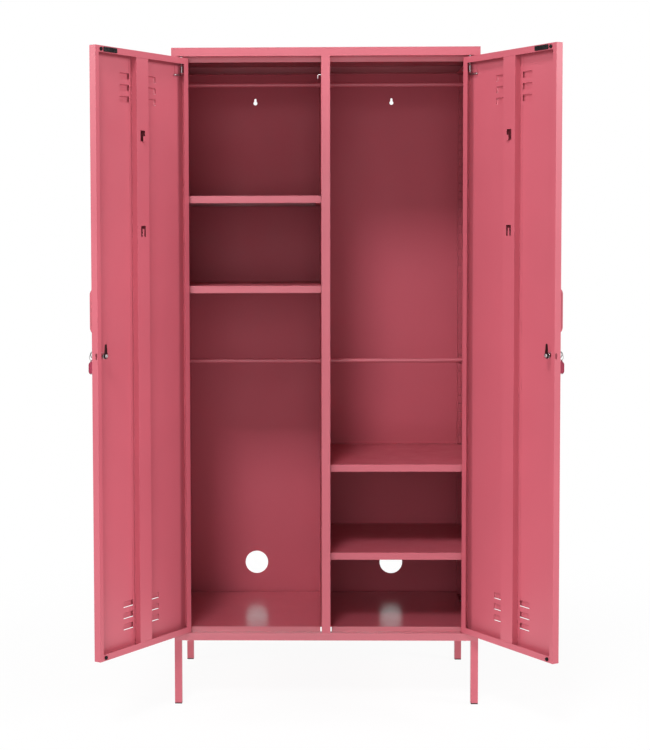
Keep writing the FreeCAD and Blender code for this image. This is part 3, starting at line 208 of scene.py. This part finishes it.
def moulded(name, colour, rough, grain=700.0, bump=0.25, specular=0.5):
    """Moulded rubber or plastic with a fine spark-eroded grain."""
    n, shader, coords = start(name)
    grains = noise(n, coords, grain, 3.0, 0.6)
    cloud = noise(n, coords, 40.0, 3.0)
    blend = mixed(n, cloud, "Fac", [c * 0.8 for c in colour], [min(1, c * 1.25) for c in colour])
    n.link(blend, 2, shader, "Base Color")
    gloss = span(n, grains, rough - 0.06, rough + 0.08)
    n.link(gloss, "Result", shader, "Roughness")
    bumped(n, shader, grains, "Fac", bump, 0.0003)
    shader.inputs["Specular IOR Level"].default_value = specular
    return n.material


PINK = (0.50, 0.099, 0.134)
MATERIALS = {
    "powder_coat": painted("berry_powder_coat", PINK),
    "shelf_coat": painted("shelf_powder_coat", PINK, 0.36),
    # The handle's paint is the door pink made 3% darker: painted shade on the bow handle.
    "handle_coat": painted("handle_powder_coat_painted_shade", [c * 0.97 for c in PINK], 0.3),
    "zinc_steel": metal("bright_zinc", (0.66, 0.67, 0.68), 0.26),
    "lock_chrome": metal("polished_chrome", (0.78, 0.78, 0.79), 0.12, (1, 1, 1), 240.0, 0.03),
    "black_rubber": moulded("black_rubber", (0.005, 0.005, 0.0055), 0.6, specular=0.18),
    "black_plastic": moulded("black_plastic", (0.006, 0.006, 0.007), 0.45, specular=0.22),
    "fob_plastic": moulded("fob_plastic", (0.28, 0.024, 0.058), 0.42, 300.0, 0.08, 0.3),
}
FLOOR_COAT = painted("floor_powder_coat", PINK, 0.2, 0.9, 0.6, 0.02)
# The same pink paint as outside, with its sheen cut down on the inner walls: painted shade standing in for the
# dark reflections inside the cabinet.
INNER_COAT_PAINTED_SHADE = painted("inner_powder_coat_painted_shade", PINK, 0.42, 0.0, 0.12)
# Dark steel for the cam with a pink cast: its darkness is partly the steel's own finish and partly painted shade
# where the cam sits inside the door.
DARK_STEEL_AND_PAINTED_SHADE = metal("dark_steel_and_painted_shade", (0.05, 0.022, 0.024), 0.42)
KEY_NICKEL = metal("key_nickel", (0.36, 0.36, 0.36), 0.34, (1, 1, 1), 180.0, 0.05)


# ---------------------------------------------------------------- geometry helpers
def place(piece, node):
    """Stand a piece in for a CAD node: same body, same finish."""
    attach(piece, BODY_OF[node])
    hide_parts(node)
    return piece


def smooth_by_angle(mesh, degrees):
    mesh.polygons.foreach_set("use_smooth", [True] * len(mesh.polygons))
    mesh.set_sharp_from_angle(angle=math.radians(degrees))


def new_piece(name, mesh, material):
    piece = bpy.data.objects.new(name, mesh)
    bpy.context.scene.collection.objects.link(piece)
    mesh.materials.clear()
    mesh.materials.append(material)
    return piece


def ease(piece, radius, segments=2, angle=40):
    """Round the folds and cut edges, and keep the flats flat in their shading."""
    bevel = piece.modifiers.new("folds", "BEVEL")
    bevel.width = radius
    bevel.segments = segments
    bevel.limit_method = "ANGLE"
    bevel.angle_limit = math.radians(angle)
    bevel.use_clamp_overlap = True
    flats = piece.modifiers.new("flats", "WEIGHTED_NORMAL")
    flats.keep_sharp = True
    flats.weight = 80
    return piece


def folded(node, radius, segments=3, angle=40, material=None):
    """A copy of a sheet-metal node with its facets joined and its folds and cut edges rounded."""
    mesh = frame["nodes"][node].data.copy()
    work = bmesh.new()
    work.from_mesh(mesh)
    bmesh.ops.remove_doubles(work, verts=work.verts, dist=SPACING)
    bmesh.ops.dissolve_limit(work, angle_limit=math.radians(0.6), verts=work.verts, edges=work.edges,
                             delimit=set())
    work.to_mesh(mesh)
    work.free()
    piece = new_piece(f"{node}_sheet", mesh, material or MATERIALS[SLOT_OF[node]])
    smooth_by_angle(mesh, angle)
    ease(piece, radius, segments, angle)
    return place(piece, node)


def from_bmesh(work, matrix):
    """Finish a working mesh: scale from millimetres, put it in place, and face it outward."""
    work.transform(matrix @ Matrix.Scale(MM, 4))
    bmesh.ops.recalc_face_normals(work, faces=work.faces)
    mesh = bpy.data.meshes.new("made")
    work.to_mesh(mesh)
    work.free()
    return mesh


def joined(meshes):
    """Several meshes as one."""
    work = bmesh.new()
    for mesh in meshes:
        work.from_mesh(mesh)
        bpy.data.meshes.remove(mesh)
    mesh = bpy.data.meshes.new("made")
    work.to_mesh(mesh)
    work.free()
    return mesh


def bridge(work, first, second):
    """A band of faces between two rings of points."""
    count = len(first)
    for k in range(count):
        following = (k + 1) % count
        work.faces.new((first[k], first[following], second[following], second[k]))


def tube(path, radius, matrix, around=20):
    """A round bar along a path of points, closed flat at its ends; radius is one value or one per point."""
    points = [Vector(point) for point in path]
    count = len(points)
    radii = radius if isinstance(radius, (list, tuple)) else [radius] * count
    work = bmesh.new()
    rings = []
    side = None
    for index, point in enumerate(points):
        before = points[index - 1] if index else point
        after = points[index + 1] if index < count - 1 else point
        along = (after - before).normalized()
        if side is None:
            side = along.orthogonal().normalized()
        side = (side - along * side.dot(along)).normalized()
        other = along.cross(side)
        ring = []
        for k in range(around):
            angle = TURN * k / around
            outward = side * math.cos(angle) + other * math.sin(angle)
            ring.append(work.verts.new(point + outward * radii[index]))
        rings.append(ring)
    for first, second in zip(rings, rings[1:]):
        bridge(work, first, second)
    work.faces.new(rings[0][::-1])
    work.faces.new(rings[-1])
    return from_bmesh(work, matrix)


def with_domes(path, radius, steps=5):
    """Add a half-round run-out at both ends of a straight-ended path."""
    points = [Vector(point) for point in path]
    radii = [radius] * len(points)
    for end in (0, -1):
        inner = points[1] if end == 0 else points[-2]
        tip = points[end]
        along = (tip - inner).normalized()
        angles = [math.pi / 2 * k / steps for k in range(1, steps + 1)]
        extra = [(tip + along * radius * math.sin(angle), max(0.02 * radius, radius * math.cos(angle)))
                 for angle in angles]
        if end == 0:
            points = [point for point, _ in extra[::-1]] + points
            radii = [size for _, size in extra[::-1]] + radii
        else:
            points += [point for point, _ in extra]
            radii += [size for _, size in extra]
    return points, radii


def bend(corner, before, after, radius, steps=10):
    """Points round a corner between two runs, as a bar bent on a former of that radius."""
    corner, before, after = Vector(corner), Vector(before), Vector(after)
    into = (before - corner).normalized()
    out = (after - corner).normalized()
    half = into.angle(out) / 2
    reach = radius / math.tan(half)
    centre = corner + (into + out).normalized() * radius / math.sin(half)
    first = corner + into * reach - centre
    last = corner + out * reach - centre
    sweep = first.angle(last)
    axis = first.cross(last)
    return [centre + Matrix.Rotation(sweep * k / steps, 3, axis) @ first for k in range(steps + 1)]


def hexagon(angle):
    """How far a hexagon of unit across-flats half-width reaches at an angle."""
    return 1 / math.cos((angle + math.pi / 6) % (math.pi / 3) - math.pi / 6)


def profile_rings(work, profile, around):
    """Rings of points about Z, one for each (height, radius, kind) step of a profile. The kind is 0 for a
    round section, 1 for a hexagonal one, and a mix of both between."""
    rings = []
    for height, radius, kind in profile:
        ring = []
        for k in range(around):
            angle = TURN * k / around
            reach = radius * (1 + kind * (hexagon(angle) - 1))
            ring.append(work.verts.new((reach * math.cos(angle), reach * math.sin(angle), height)))
        rings.append(ring)
    return rings


def turned(profile, matrix, around=36):
    """A turned piece about Z, closed flat at both ends of its profile."""
    work = bmesh.new()
    rings = profile_rings(work, profile, around)
    for first, second in zip(rings, rings[1:]):
        bridge(work, first, second)
    work.faces.new(rings[0][::-1])
    work.faces.new(rings[-1])
    return from_bmesh(work, matrix)


def collar(profile, matrix, around=36):
    """As turned, but the profile closes on itself, so the middle stays open."""
    work = bmesh.new()
    rings = profile_rings(work, profile, around)
    for first, second in zip(rings, rings[1:] + rings[:1]):
        bridge(work, first, second)
    return from_bmesh(work, matrix)


def plate(loops, thick, matrix, bevel=0.25):
    """A flat piece in XY from closed outlines, the later ones holes, with rounded edges."""
    curve = bpy.data.curves.new("outline", "CURVE")
    curve.dimensions = "2D"
    curve.fill_mode = "BOTH"
    curve.extrude = thick / 2 - bevel
    curve.bevel_depth = bevel
    curve.bevel_resolution = 1
    curve.offset = -bevel
    for loop in loops:
        spline = curve.splines.new("POLY")
        spline.points.add(len(loop) - 1)
        for point, (x, y) in zip(spline.points, loop):
            point.co = (x, y, 0, 1)
        spline.use_cyclic_u = True
    holder = bpy.data.objects.new("outline", curve)
    mesh = bpy.data.meshes.new_from_object(holder)
    work = bmesh.new()
    work.from_mesh(mesh)
    bmesh.ops.remove_doubles(work, verts=work.verts, dist=0.001)
    bpy.data.objects.remove(holder)
    bpy.data.curves.remove(curve)
    bpy.data.meshes.remove(mesh)
    return from_bmesh(work, matrix)


def circle(centre, radius, count=32):
    """A circle's outline."""
    angles = [TURN * k / count for k in range(count)]
    return [(centre[0] + radius * math.cos(angle), centre[1] + radius * math.sin(angle)) for angle in angles]


def round_box(low, high, radius, steps=6):
    """A rectangle's outline with rounded corners."""
    corners = [((high[0] - radius, high[1] - radius), 0), ((low[0] + radius, high[1] - radius), 1),
               ((low[0] + radius, low[1] + radius), 2), ((high[0] - radius, low[1] + radius), 3)]
    return [(centre[0] + radius * math.cos((quarter + k / steps) * math.pi / 2),
             centre[1] + radius * math.sin((quarter + k / steps) * math.pi / 2))
            for centre, quarter in corners for k in range(steps + 1)]


def made(name, meshes, node, angle=35, material=None):
    """A piece from one or more meshes that stands in for a CAD node."""
    mesh = joined(meshes)
    piece = new_piece(name, mesh, material or MATERIALS[SLOT_OF[node]])
    smooth_by_angle(mesh, angle)
    return place(piece, node)


# ---------------------------------------------------------------- door frames
def door_frame(side):
    """A door's own frame: hinge pin as Z, X towards the free edge (times the side), Y inward."""
    hinge = JOINTS[f"{side}_door_hinge"]
    turn = -SIDES[side] * math.radians(-hinge["range_deg"][0])
    return Matrix.Translation((hinge["pos_m"][0], hinge["pos_m"][1], 0)) @ Matrix.Rotation(turn, 4, "Z")


def facing(origin, x_axis, y_axis):
    """A frame (millimetres to metres) with the given origin and axes."""
    x_axis, y_axis = Vector(x_axis), Vector(y_axis)
    z_axis = x_axis.cross(y_axis)
    frame_3 = Matrix((x_axis, y_axis, z_axis)).transposed().to_4x4()
    return Matrix.Translation(Vector(origin) * MM) @ frame_3


def lock_place(side):
    """The lock's reach from the hinge pin and its height, in millimetres."""
    hinge = JOINTS[f"{side}_door_hinge"]["pos_m"]
    lock = JOINTS[f"{side}_lock_turn"]["pos_m"]
    return math.hypot(lock[0] - hinge[0], lock[1] - hinge[1]) / MM, lock[2] / MM


# ---------------------------------------------------------------- the pieces
FOLDED = {
    "top_panel": 0.35, "left_side_panel": 0.35, "right_side_panel": 0.35,
    "back_panel": 0.25, "centre_post": 0.35, "divider_panel": 0.3, "slotted_uprights": 0.25,
    "left_upper_shelf": 0.35, "left_lower_shelf": 0.35, "right_upper_shelf": 0.35,
    "right_lower_shelf": 0.35, "shelf_clips": 0.2, "rail_sockets": 0.3, "foot_caps": 0.6,
    "front_left_leg": 0.7, "front_right_leg": 0.7, "rear_left_leg": 0.7, "rear_right_leg": 0.7,
}
DOOR_FOLDED = {
    "door_panel": 0.35, "door_stiffener": 0.35, "hinge_bracket": 0.3, "lock_body": 0.5,
}
# Inner walls that take the low-sheen paint copy, which is painted shade.
INNER_NODES = {"left_side_panel", "right_side_panel", "back_panel", "divider_panel", "slotted_uprights"}


def make_sheet_metal():
    for node, radius in FOLDED.items():
        folded(node, radius * MM, material=INNER_COAT_PAINTED_SHADE if node in INNER_NODES else None)
    folded("base_pan", 0.35 * MM, material=FLOOR_COAT)
    for side in SIDES:
        for part, radius in DOOR_FOLDED.items():
            folded(f"{side}_{part}", radius * MM)


def make_handle(side):
    """Bow handle bent from one bar, with a flared foot and an inside nut at each end."""
    base = door_frame(side)
    reach = SIDES[side] * lock_place(side)[0]
    low, high = (corner[2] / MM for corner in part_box(f"{side}_door_handle"))
    rod, former = 5.0, 13
    out = -HANDLE_STAND - AXIS_DEPTH
    skin = -AXIS_DEPTH
    low_z, high_z = low + rod, high - rod
    foot_low, foot_high = (reach, skin, low_z), (reach, skin, high_z)
    corner_low, corner_high = (reach, out, low_z), (reach, out, high_z)
    path = ([foot_low, (reach, skin - 2.0, low_z), (reach, skin - 4.0, low_z)]
            + bend(corner_low, foot_low, corner_high, former)
            + bend(corner_high, corner_low, foot_high, former)
            + [(reach, skin - 4.0, high_z), (reach, skin - 2.0, high_z), foot_high])
    flare = [rod + 1.1, rod + 0.7]
    radii = flare + [rod] * (len(path) - 4) + flare[::-1]
    meshes = [tube(path, radii, base, 28)]
    for z in (low_z, high_z):
        inward = base @ facing((reach, skin, z), (1, 0, 0), (0, 0, -1))
        meshes.append(turned(hex_nut(0.8, 4.0, 3.6, 2.0), inward))
    made(f"{side}_bow_handle", meshes, f"{side}_door_handle")


def hex_nut(low, high, half, bore):
    """Profile of a chamfered nut with the end of its stud standing proud."""
    nut = [(low, half * 0.9, 0.0), (low + 0.05, half, 1.0), (high - 0.5, half, 1.0), (high, half * 0.94, 0.0)]
    stud = [(high, bore + 0.3, 0.0), (high - 0.3, bore, 0.0), (high + 1.4, bore, 0.0),
            (high + 1.9, bore - 0.5, 0.0)]
    return nut + stud


def make_hinge_bolt(side):
    """Sprung bolt bent from one bar, with a pointed nose, a pressed collar and a round-ended tail."""
    base = door_frame(side)
    rod, former = 2.5, 4.5
    nose_length = 6.0
    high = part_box(f"{side}_hinge_bolt")[1][2] / MM
    low = high - 62.0
    tail = SIDES[side] * 31.0
    corner = bend((0, 0, low), (0, 0, high), (tail, 0, low), former)
    points, radii = with_domes([(0, 0, high - nose_length)] + corner + [(tail, 0, low)], rod)
    points = [point for point in points if point.z < high - nose_length + 0.1]
    radii = radii[len(radii) - len(points):]
    nose = [(0, 1.2), (0.5, 1.75), (1, 1.9), (2.2, 2.15), (3, rod), (nose_length, rod)]
    points = [Vector((0, 0, high - drop)) for drop, _ in nose] + points
    radii = [size for _, size in nose] + radii
    seat = low + 23.0
    ring = [(seat, 2.4, 0), (seat, 3.2, 0), (seat + 0.3, 3.4, 0), (seat + 1.2, 3.4, 0),
            (seat + 1.5, 3.2, 0), (seat + 1.5, 2.4, 0)]
    meshes = [tube(points, radii, base, 24), collar(ring, base)]
    made(f"{side}_sprung_bolt", meshes, f"{side}_hinge_bolt")


def make_spring(side):
    """Coil between the bracket's lower ear and the bolt's collar, with a closed turn at each end."""
    base = door_frame(side)
    low, high = (corner[2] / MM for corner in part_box(f"{side}_hinge_spring"))
    wire, coil = 0.35, 3.05
    turns = 7
    closed_pitch = 0.75
    steps = 24 * turns
    path = []
    for k in range(steps + 1):
        turn = turns * k / steps
        open_turns = min(max(turn - 1, 0), turns - 2)
        rise = closed_pitch * min(turn, 1) + closed_pitch * max(turn - (turns - 1), 0)
        run = (high - low - 2 * wire - 2 * closed_pitch) * open_turns / (turns - 2)
        path.append((coil * math.cos(TURN * turn), coil * math.sin(TURN * turn), low + wire + rise + run))
    mesh = tube(path, wire, base, 10)
    piece = new_piece(f"{side}_coil_spring", mesh, MATERIALS["zinc_steel"])
    smooth_by_angle(mesh, 50)
    place(piece, f"{side}_hinge_spring")
    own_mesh(piece)


def make_lock(side):
    """Chamfered back nut, cam and keys of one lock; the lock's body and barrel core are CAD shapes."""
    base = door_frame(side)
    reach, height = lock_place(side)
    x = SIDES[side] * reach
    inward = base @ facing((x, -AXIS_DEPTH, height), (1, 0, 0), (0, 0, -1))
    half, bore = 10.05, 8.05
    nut = [(0.85, bore, 0), (0.85, half * 0.97, 0), (1.0, half, 0.55), (1.5, half, 1), (4.6, half, 1),
           (5.1, half, 0.55), (5.3, half * 0.97, 0), (5.3, 8.6, 0), (4.9, bore, 0)]
    made(f"{side}_hex_nut", [collar(nut, inward, 72)], f"{side}_lock_nut")
    make_cam(side, base, x, height)
    make_key(side, base, x, height)


def make_cam(side, base, x, height):
    """Tapered cam on its square tang, held by a bright chamfered nut."""
    low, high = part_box(f"{side}_lock_cam")
    length = high[2] / MM - height
    tip, hub = 3.2, 7.5
    tang = 3.03
    around = [math.pi * (1 + k / 24) for k in range(25)]
    outline = [(hub * math.cos(angle), hub * math.sin(angle)) for angle in around]
    outline += [(hub, 1.5), (5.6, 6.0)]
    outline += [(tip * math.cos(math.pi * k / 12), length - tip + tip * math.sin(math.pi * k / 12))
                for k in range(13)]
    outline += [(-5.6, 6.0), (-hub, 1.5)]
    square = [(-tang, -tang), (-tang, tang), (tang, tang), (tang, -tang)]
    middle = CAM_DEPTH - AXIS_DEPTH + CAM_THICK / 2
    flat = base @ facing((x, middle, height), (1, 0, 0), (0, 0, 1))
    # The cam's near-black steel is partly its own dark finish and partly painted shade.
    made(f"{side}_tapered_cam", [plate([outline, square], CAM_THICK, flat, 0.2)], f"{side}_lock_cam",
         material=DARK_STEEL_AND_PAINTED_SHADE)
    inward = base @ facing((x, middle + CAM_THICK / 2, height), (1, 0, 0), (0, 0, -1))
    half = 5.0
    nut = [(0.05, 4.3, 0), (0.05, half * 0.96, 0), (0.3, half, 0.6), (0.6, half, 1), (2.6, half, 1),
           (3.0, half * 0.94, 0.3), (3.2, half * 0.9, 0), (3.2, 2.9, 0), (2.4, 2.5, 0)]
    shell = frame["nodes"][f"{side}_lock_barrel"]
    barrel = shell.data.copy()
    barrel.transform(shell.matrix_world)
    made(f"{side}_barrel_with_nut", [barrel, collar(nut, inward, 48)], f"{side}_lock_barrel",
         material=MATERIALS["zinc_steel"])


def make_key(side, base, x, height):
    """Cut key with a pierced bow, two turns of wire through it, and a rimmed tag."""
    across = base @ facing((x, -AXIS_DEPTH, height), (0, 1, 0), (0, 0, 1))
    bow, eye = (-22.0, 1.5), (-25.0, 6.0)
    bow_radius, shoulder = 9.0, 3.5
    gap = math.asin(shoulder / bow_radius) + 0.28
    outline = []
    for k in range(41):
        angle = gap + (TURN - 2 * gap) * k / 40
        outline.append((bow[0] + bow_radius * math.cos(angle), bow[1] + bow_radius * math.sin(angle)))
    teeth = [(-13.0, -3.5), (-4.0, -3.5), (-4.0, -2.9), (1.0, -2.9), (2.5, -1.4), (4.0, -2.9),
             (6.0, -2.9), (7.2, -1.8), (8.4, -2.9), (10.5, -2.9), (12.0, -1.0), (13.2, -2.2),
             (16.0, -0.6), (16.0, 1.2), (14.4, 2.8), (-4.0, 2.8), (-4.0, 3.5), (-13.0, 3.5)]
    blade = plate([outline + teeth, circle(bow, 6.3, 48)], 1.9, across, 0.25)
    made(f"{side}_cut_key", [blade], f"{side}_key", material=KEY_NICKEL)

    hoop, wire = 10.0, 0.38
    turns = 2.0
    steps = 96
    path = []
    for k in range(steps + 1):
        angle = TURN * turns * k / steps + 1.2
        path.append((x + hoop * math.sin(angle), eye[0] - AXIS_DEPTH + 1.56 * (k / steps - 0.5),
                     height + eye[1] - hoop + hoop * math.cos(angle)))
    made(f"{side}_split_ring", [tube(path, wire, base, 12)], f"{side}_key_ring", material=KEY_NICKEL)

    eye_z = eye[1] - 2 * hoop - 0.7
    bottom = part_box(f"{side}_key_fob")[0][2] / MM - height
    head = circle((eye[0], eye_z - 1.5), 4.4, 40)
    body = round_box((eye[0] - 11, bottom), (eye[0] + 11, eye_z - 3.0), 8)
    neck = [point for point in head if point[1] > eye_z - 4.2]
    shell = tag_outline(body, neck, eye[0])
    rim_in = round_box((eye[0] - 8.6, bottom + 2.4), (eye[0] + 8.6, eye_z - 5.8), 6)
    panel = round_box((eye[0] - 9.4, bottom + 1.6), (eye[0] + 9.4, eye_z - 5.0), 6.4)
    hole = circle((eye[0], eye_z), 1.8, 24)
    tag = [plate([shell, hole, rim_in], 3.0, across, 0.5), plate([panel], 1.7, across, 0.1)]
    made(f"{side}_key_tag", tag, f"{side}_key_fob")


def tag_outline(body, neck, middle):
    """Join a tag's rounded body with the round head that stands on its top edge."""
    top = max(y for _, y in body)
    centre_y = top - 15
    right = [point for point in body if point[0] >= middle]
    left = [point for point in body if point[0] < middle]
    right.sort(key=lambda point: math.atan2(point[1] - centre_y, point[0] - middle))
    left.sort(key=lambda point: math.atan2(point[1] - centre_y, point[0] - middle) % TURN)
    crown = sorted((point for point in neck if point[1] > top), key=lambda point: -point[0])
    return right + crown + left


def make_trim(side):
    """Domed rubber bumpers, and a ribbed magnetic catch with its two steel poles."""
    base = door_frame(side)
    inner = DOOR_THICK - AXIS_DEPTH
    pad = [(0.02, 4.6, 0), (0.3, 5.0, 0), (2.4, 5.0, 0), (3.2, 4.7, 0), (3.8, 3.9, 0), (4.0, 2.6, 0),
           (3.9, 1.6, 0), (3.3, 1.2, 0)]
    pads = []
    for spot in lone_centres(f"{side}_door_bumpers", base):
        inward = base @ facing((spot.x, inner, spot.z), (1, 0, 0), (0, 0, -1))
        pads.append(turned(pad, inward))
    made(f"{side}_bumper_pads", pads, f"{side}_door_bumpers", 50)
    centre = lone_centres(f"{side}_magnet_catch", base)[0]
    flat = base @ facing((centre.x, inner + 1.72, centre.z), (1, 0, 0), (0, 0, -1))
    case = plate([round_box((-26, -6), (26, 6), 1.6), circle((-19.5, 0), 2.2, 20), circle((19.5, 0), 2.2, 20),
                  round_box((-13.5, -3.6), (13.5, 3.6), 0.6, 2)], 3.3, flat, 0.4)
    bed_place = flat @ Matrix.Translation((0, 0, -0.0006))
    bed = plate([round_box((-25, -5), (25, 5), 1.2)], 1.6, bed_place, 0.2)
    poles = [plate([round_box((-12.6, y - 0.9), (12.6, y + 0.9), 0.3, 2)], 2.9, flat, 0.2)
             for y in (-2.3, 0, 2.3)]
    made(f"{side}_catch_case", [case, bed, *poles], f"{side}_magnet_catch", 40)


def lone_centres(node, base):
    """Centres of a node's separate lumps, lowest first, in a door's frame, in millimetres."""
    work = bmesh.new()
    work.from_mesh(frame["nodes"][node].data)
    bmesh.ops.remove_doubles(work, verts=work.verts, dist=SPACING)
    work.transform(base.inverted())
    left = set(work.verts)
    centres = []
    while left:
        stack = [left.pop()]
        lump = []
        while stack:
            vert = stack.pop()
            lump.append(vert.co.copy())
            for edge in vert.link_edges:
                other = edge.other_vert(vert)
                if other in left:
                    left.discard(other)
                    stack.append(other)
        low = [min(point[i] for point in lump) for i in range(3)]
        high = [max(point[i] for point in lump) for i in range(3)]
        centres.append(Vector([(low[i] + high[i]) / 2 for i in range(3)]) / MM)
    work.free()
    return sorted(centres, key=lambda centre: centre.z)


def make_post_hook():
    """Small hook bent from wire, on a pressed collar in the side of the centre post."""
    low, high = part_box("post_hook")
    rod, former, reach = 1.5, 4, 9
    y = (low[1] + high[1]) / 2 / MM
    post = high[0] / MM - 3
    top = high[2] / MM - 3.2
    elbow, tip = (post - reach, y, top), (post - reach, y, top - reach)
    corner = bend(elbow, (post, y, top), tip, former)
    path, radii = with_domes([(post + 3, y, top)] + corner + [(post - reach, y, top - 10)], rod)
    seat = facing((post, y, top), (0, 1, 0), (0, 0, -1))
    ring = [(0.0, 1.2, 0), (0.0, 3.2, 0), (0.5, 3.1, 0), (1.0, 2.5, 0), (1.0, 1.2, 0)]
    meshes = [tube(path, radii, Matrix.Identity(4), 16), collar(ring, seat)]
    made("post_wire_hook", meshes, "post_hook")


def dress_rest():
    """Whatever is still the CAD node itself gets its material and soft shading."""
    for node, item in frame["nodes"].items():
        item.data.materials.clear()
        item.data.materials.append(MATERIALS[SLOT_OF[node]])
        smooth_by_angle(item.data, 35)


# ---------------------------------------------------------------- floor and light
def make_floor():
    """Seamless white: a pale floor that lifts to the backdrop's white with distance."""
    mesh = bpy.data.meshes.new("studio_floor")
    work = bmesh.new()
    bmesh.ops.create_circle(work, cap_ends=True, segments=96, radius=14.0)
    work.to_mesh(mesh)
    work.free()
    n, shader, coords = start("pale_floor")
    dust = noise(n, coords, 1.6, 4.0)
    blend = mixed(n, dust, "Fac", (0.86, 0.86, 0.86), (0.90, 0.90, 0.90))
    n.link(blend, 2, shader, "Base Color")
    shader.inputs["Roughness"].default_value = 0.6
    shader.inputs["Specular IOR Level"].default_value = 0.1
    glow = n("ShaderNodeEmission")
    glow.inputs["Color"].default_value = (1, 1, 1, 1)
    glow.inputs["Strength"].default_value = 1.0
    away = n("ShaderNodeVectorMath", operation="LENGTH")
    n.link(coords, "Object", away, 0)
    lift = n("ShaderNodeMapRange")
    lift.interpolation_type = "SMOOTHSTEP"
    lift.inputs["From Min"].default_value = 0.3
    lift.inputs["From Max"].default_value = 2.2
    lift.inputs["To Min"].default_value = 0.93
    lift.inputs["To Max"].default_value = 1.0
    n.link(away, "Value", lift, "Value")
    both = n("ShaderNodeMixShader")
    n.link(lift, "Result", both, 0)
    n.link(shader, "BSDF", both, 1)
    n.link(glow, "Emission", both, 2)
    n.link(both, "Shader", n.tree.nodes["Material Output"], "Surface")
    floor = new_piece("studio_floor", mesh, n.material)
    floor.location.z = -0.0005


def softbox(name, spot, aim, size, power, spread=180):
    data = bpy.data.lights.new(name, "AREA")
    data.shape = "SQUARE"
    data.size = size
    data.energy = power
    data.spread = math.radians(spread)
    lamp = bpy.data.objects.new(name, data)
    lamp.location = spot
    lamp.rotation_euler = (Vector(aim) - Vector(spot)).to_track_quat("-Z", "Y").to_euler()
    bpy.context.scene.collection.objects.link(lamp)


def make_light():
    """Soft white surroundings, a steep key light, and softer boxes in front and at the sides."""
    world = bpy.data.worlds.new("studio")
    world.use_nodes = True
    tree = world.node_tree
    backdrop = tree.nodes["Background"]
    backdrop.inputs["Color"].default_value = (1, 1, 1, 1)
    rays = tree.nodes.new("ShaderNodeLightPath")
    dimmed = tree.nodes.new("ShaderNodeMapRange")
    dimmed.inputs["To Min"].default_value = 0.58
    dimmed.inputs["To Max"].default_value = 0.27
    tree.links.new(rays.outputs["Is Diffuse Ray"], dimmed.inputs["Value"])
    seen = tree.nodes.new("ShaderNodeMath")
    seen.operation = "MAXIMUM"
    tree.links.new(rays.outputs["Is Camera Ray"], seen.inputs[0])
    tree.links.new(dimmed.outputs["Result"], seen.inputs[1])
    tree.links.new(seen.outputs["Value"], backdrop.inputs["Strength"])
    bpy.context.scene.world = world
    softbox("key_light", (-1.8, -7.5, 9.0), (0, 0, 0.2), 2.2, 92, 70)
    softbox("front_light", (-0.6, -7.0, 1.9), (0, 0, 0.8), 3.0, 80)
    softbox("right_light", (6.6, -2.5, 4.0), (0, 0, 0.9), 2.6, 355)
    softbox("left_light", (-6.6, -3.0, 4.0), (0, 0, 0.9), 2.6, 285)
    bpy.context.scene.view_settings.view_transform = "Standard"


make_camera()
make_sheet_metal()
for door_side in SIDES:
    make_handle(door_side)
    make_hinge_bolt(door_side)
    make_spring(door_side)
    make_lock(door_side)
    make_trim(door_side)
make_post_hook()
dress_rest()
make_floor()
make_light()
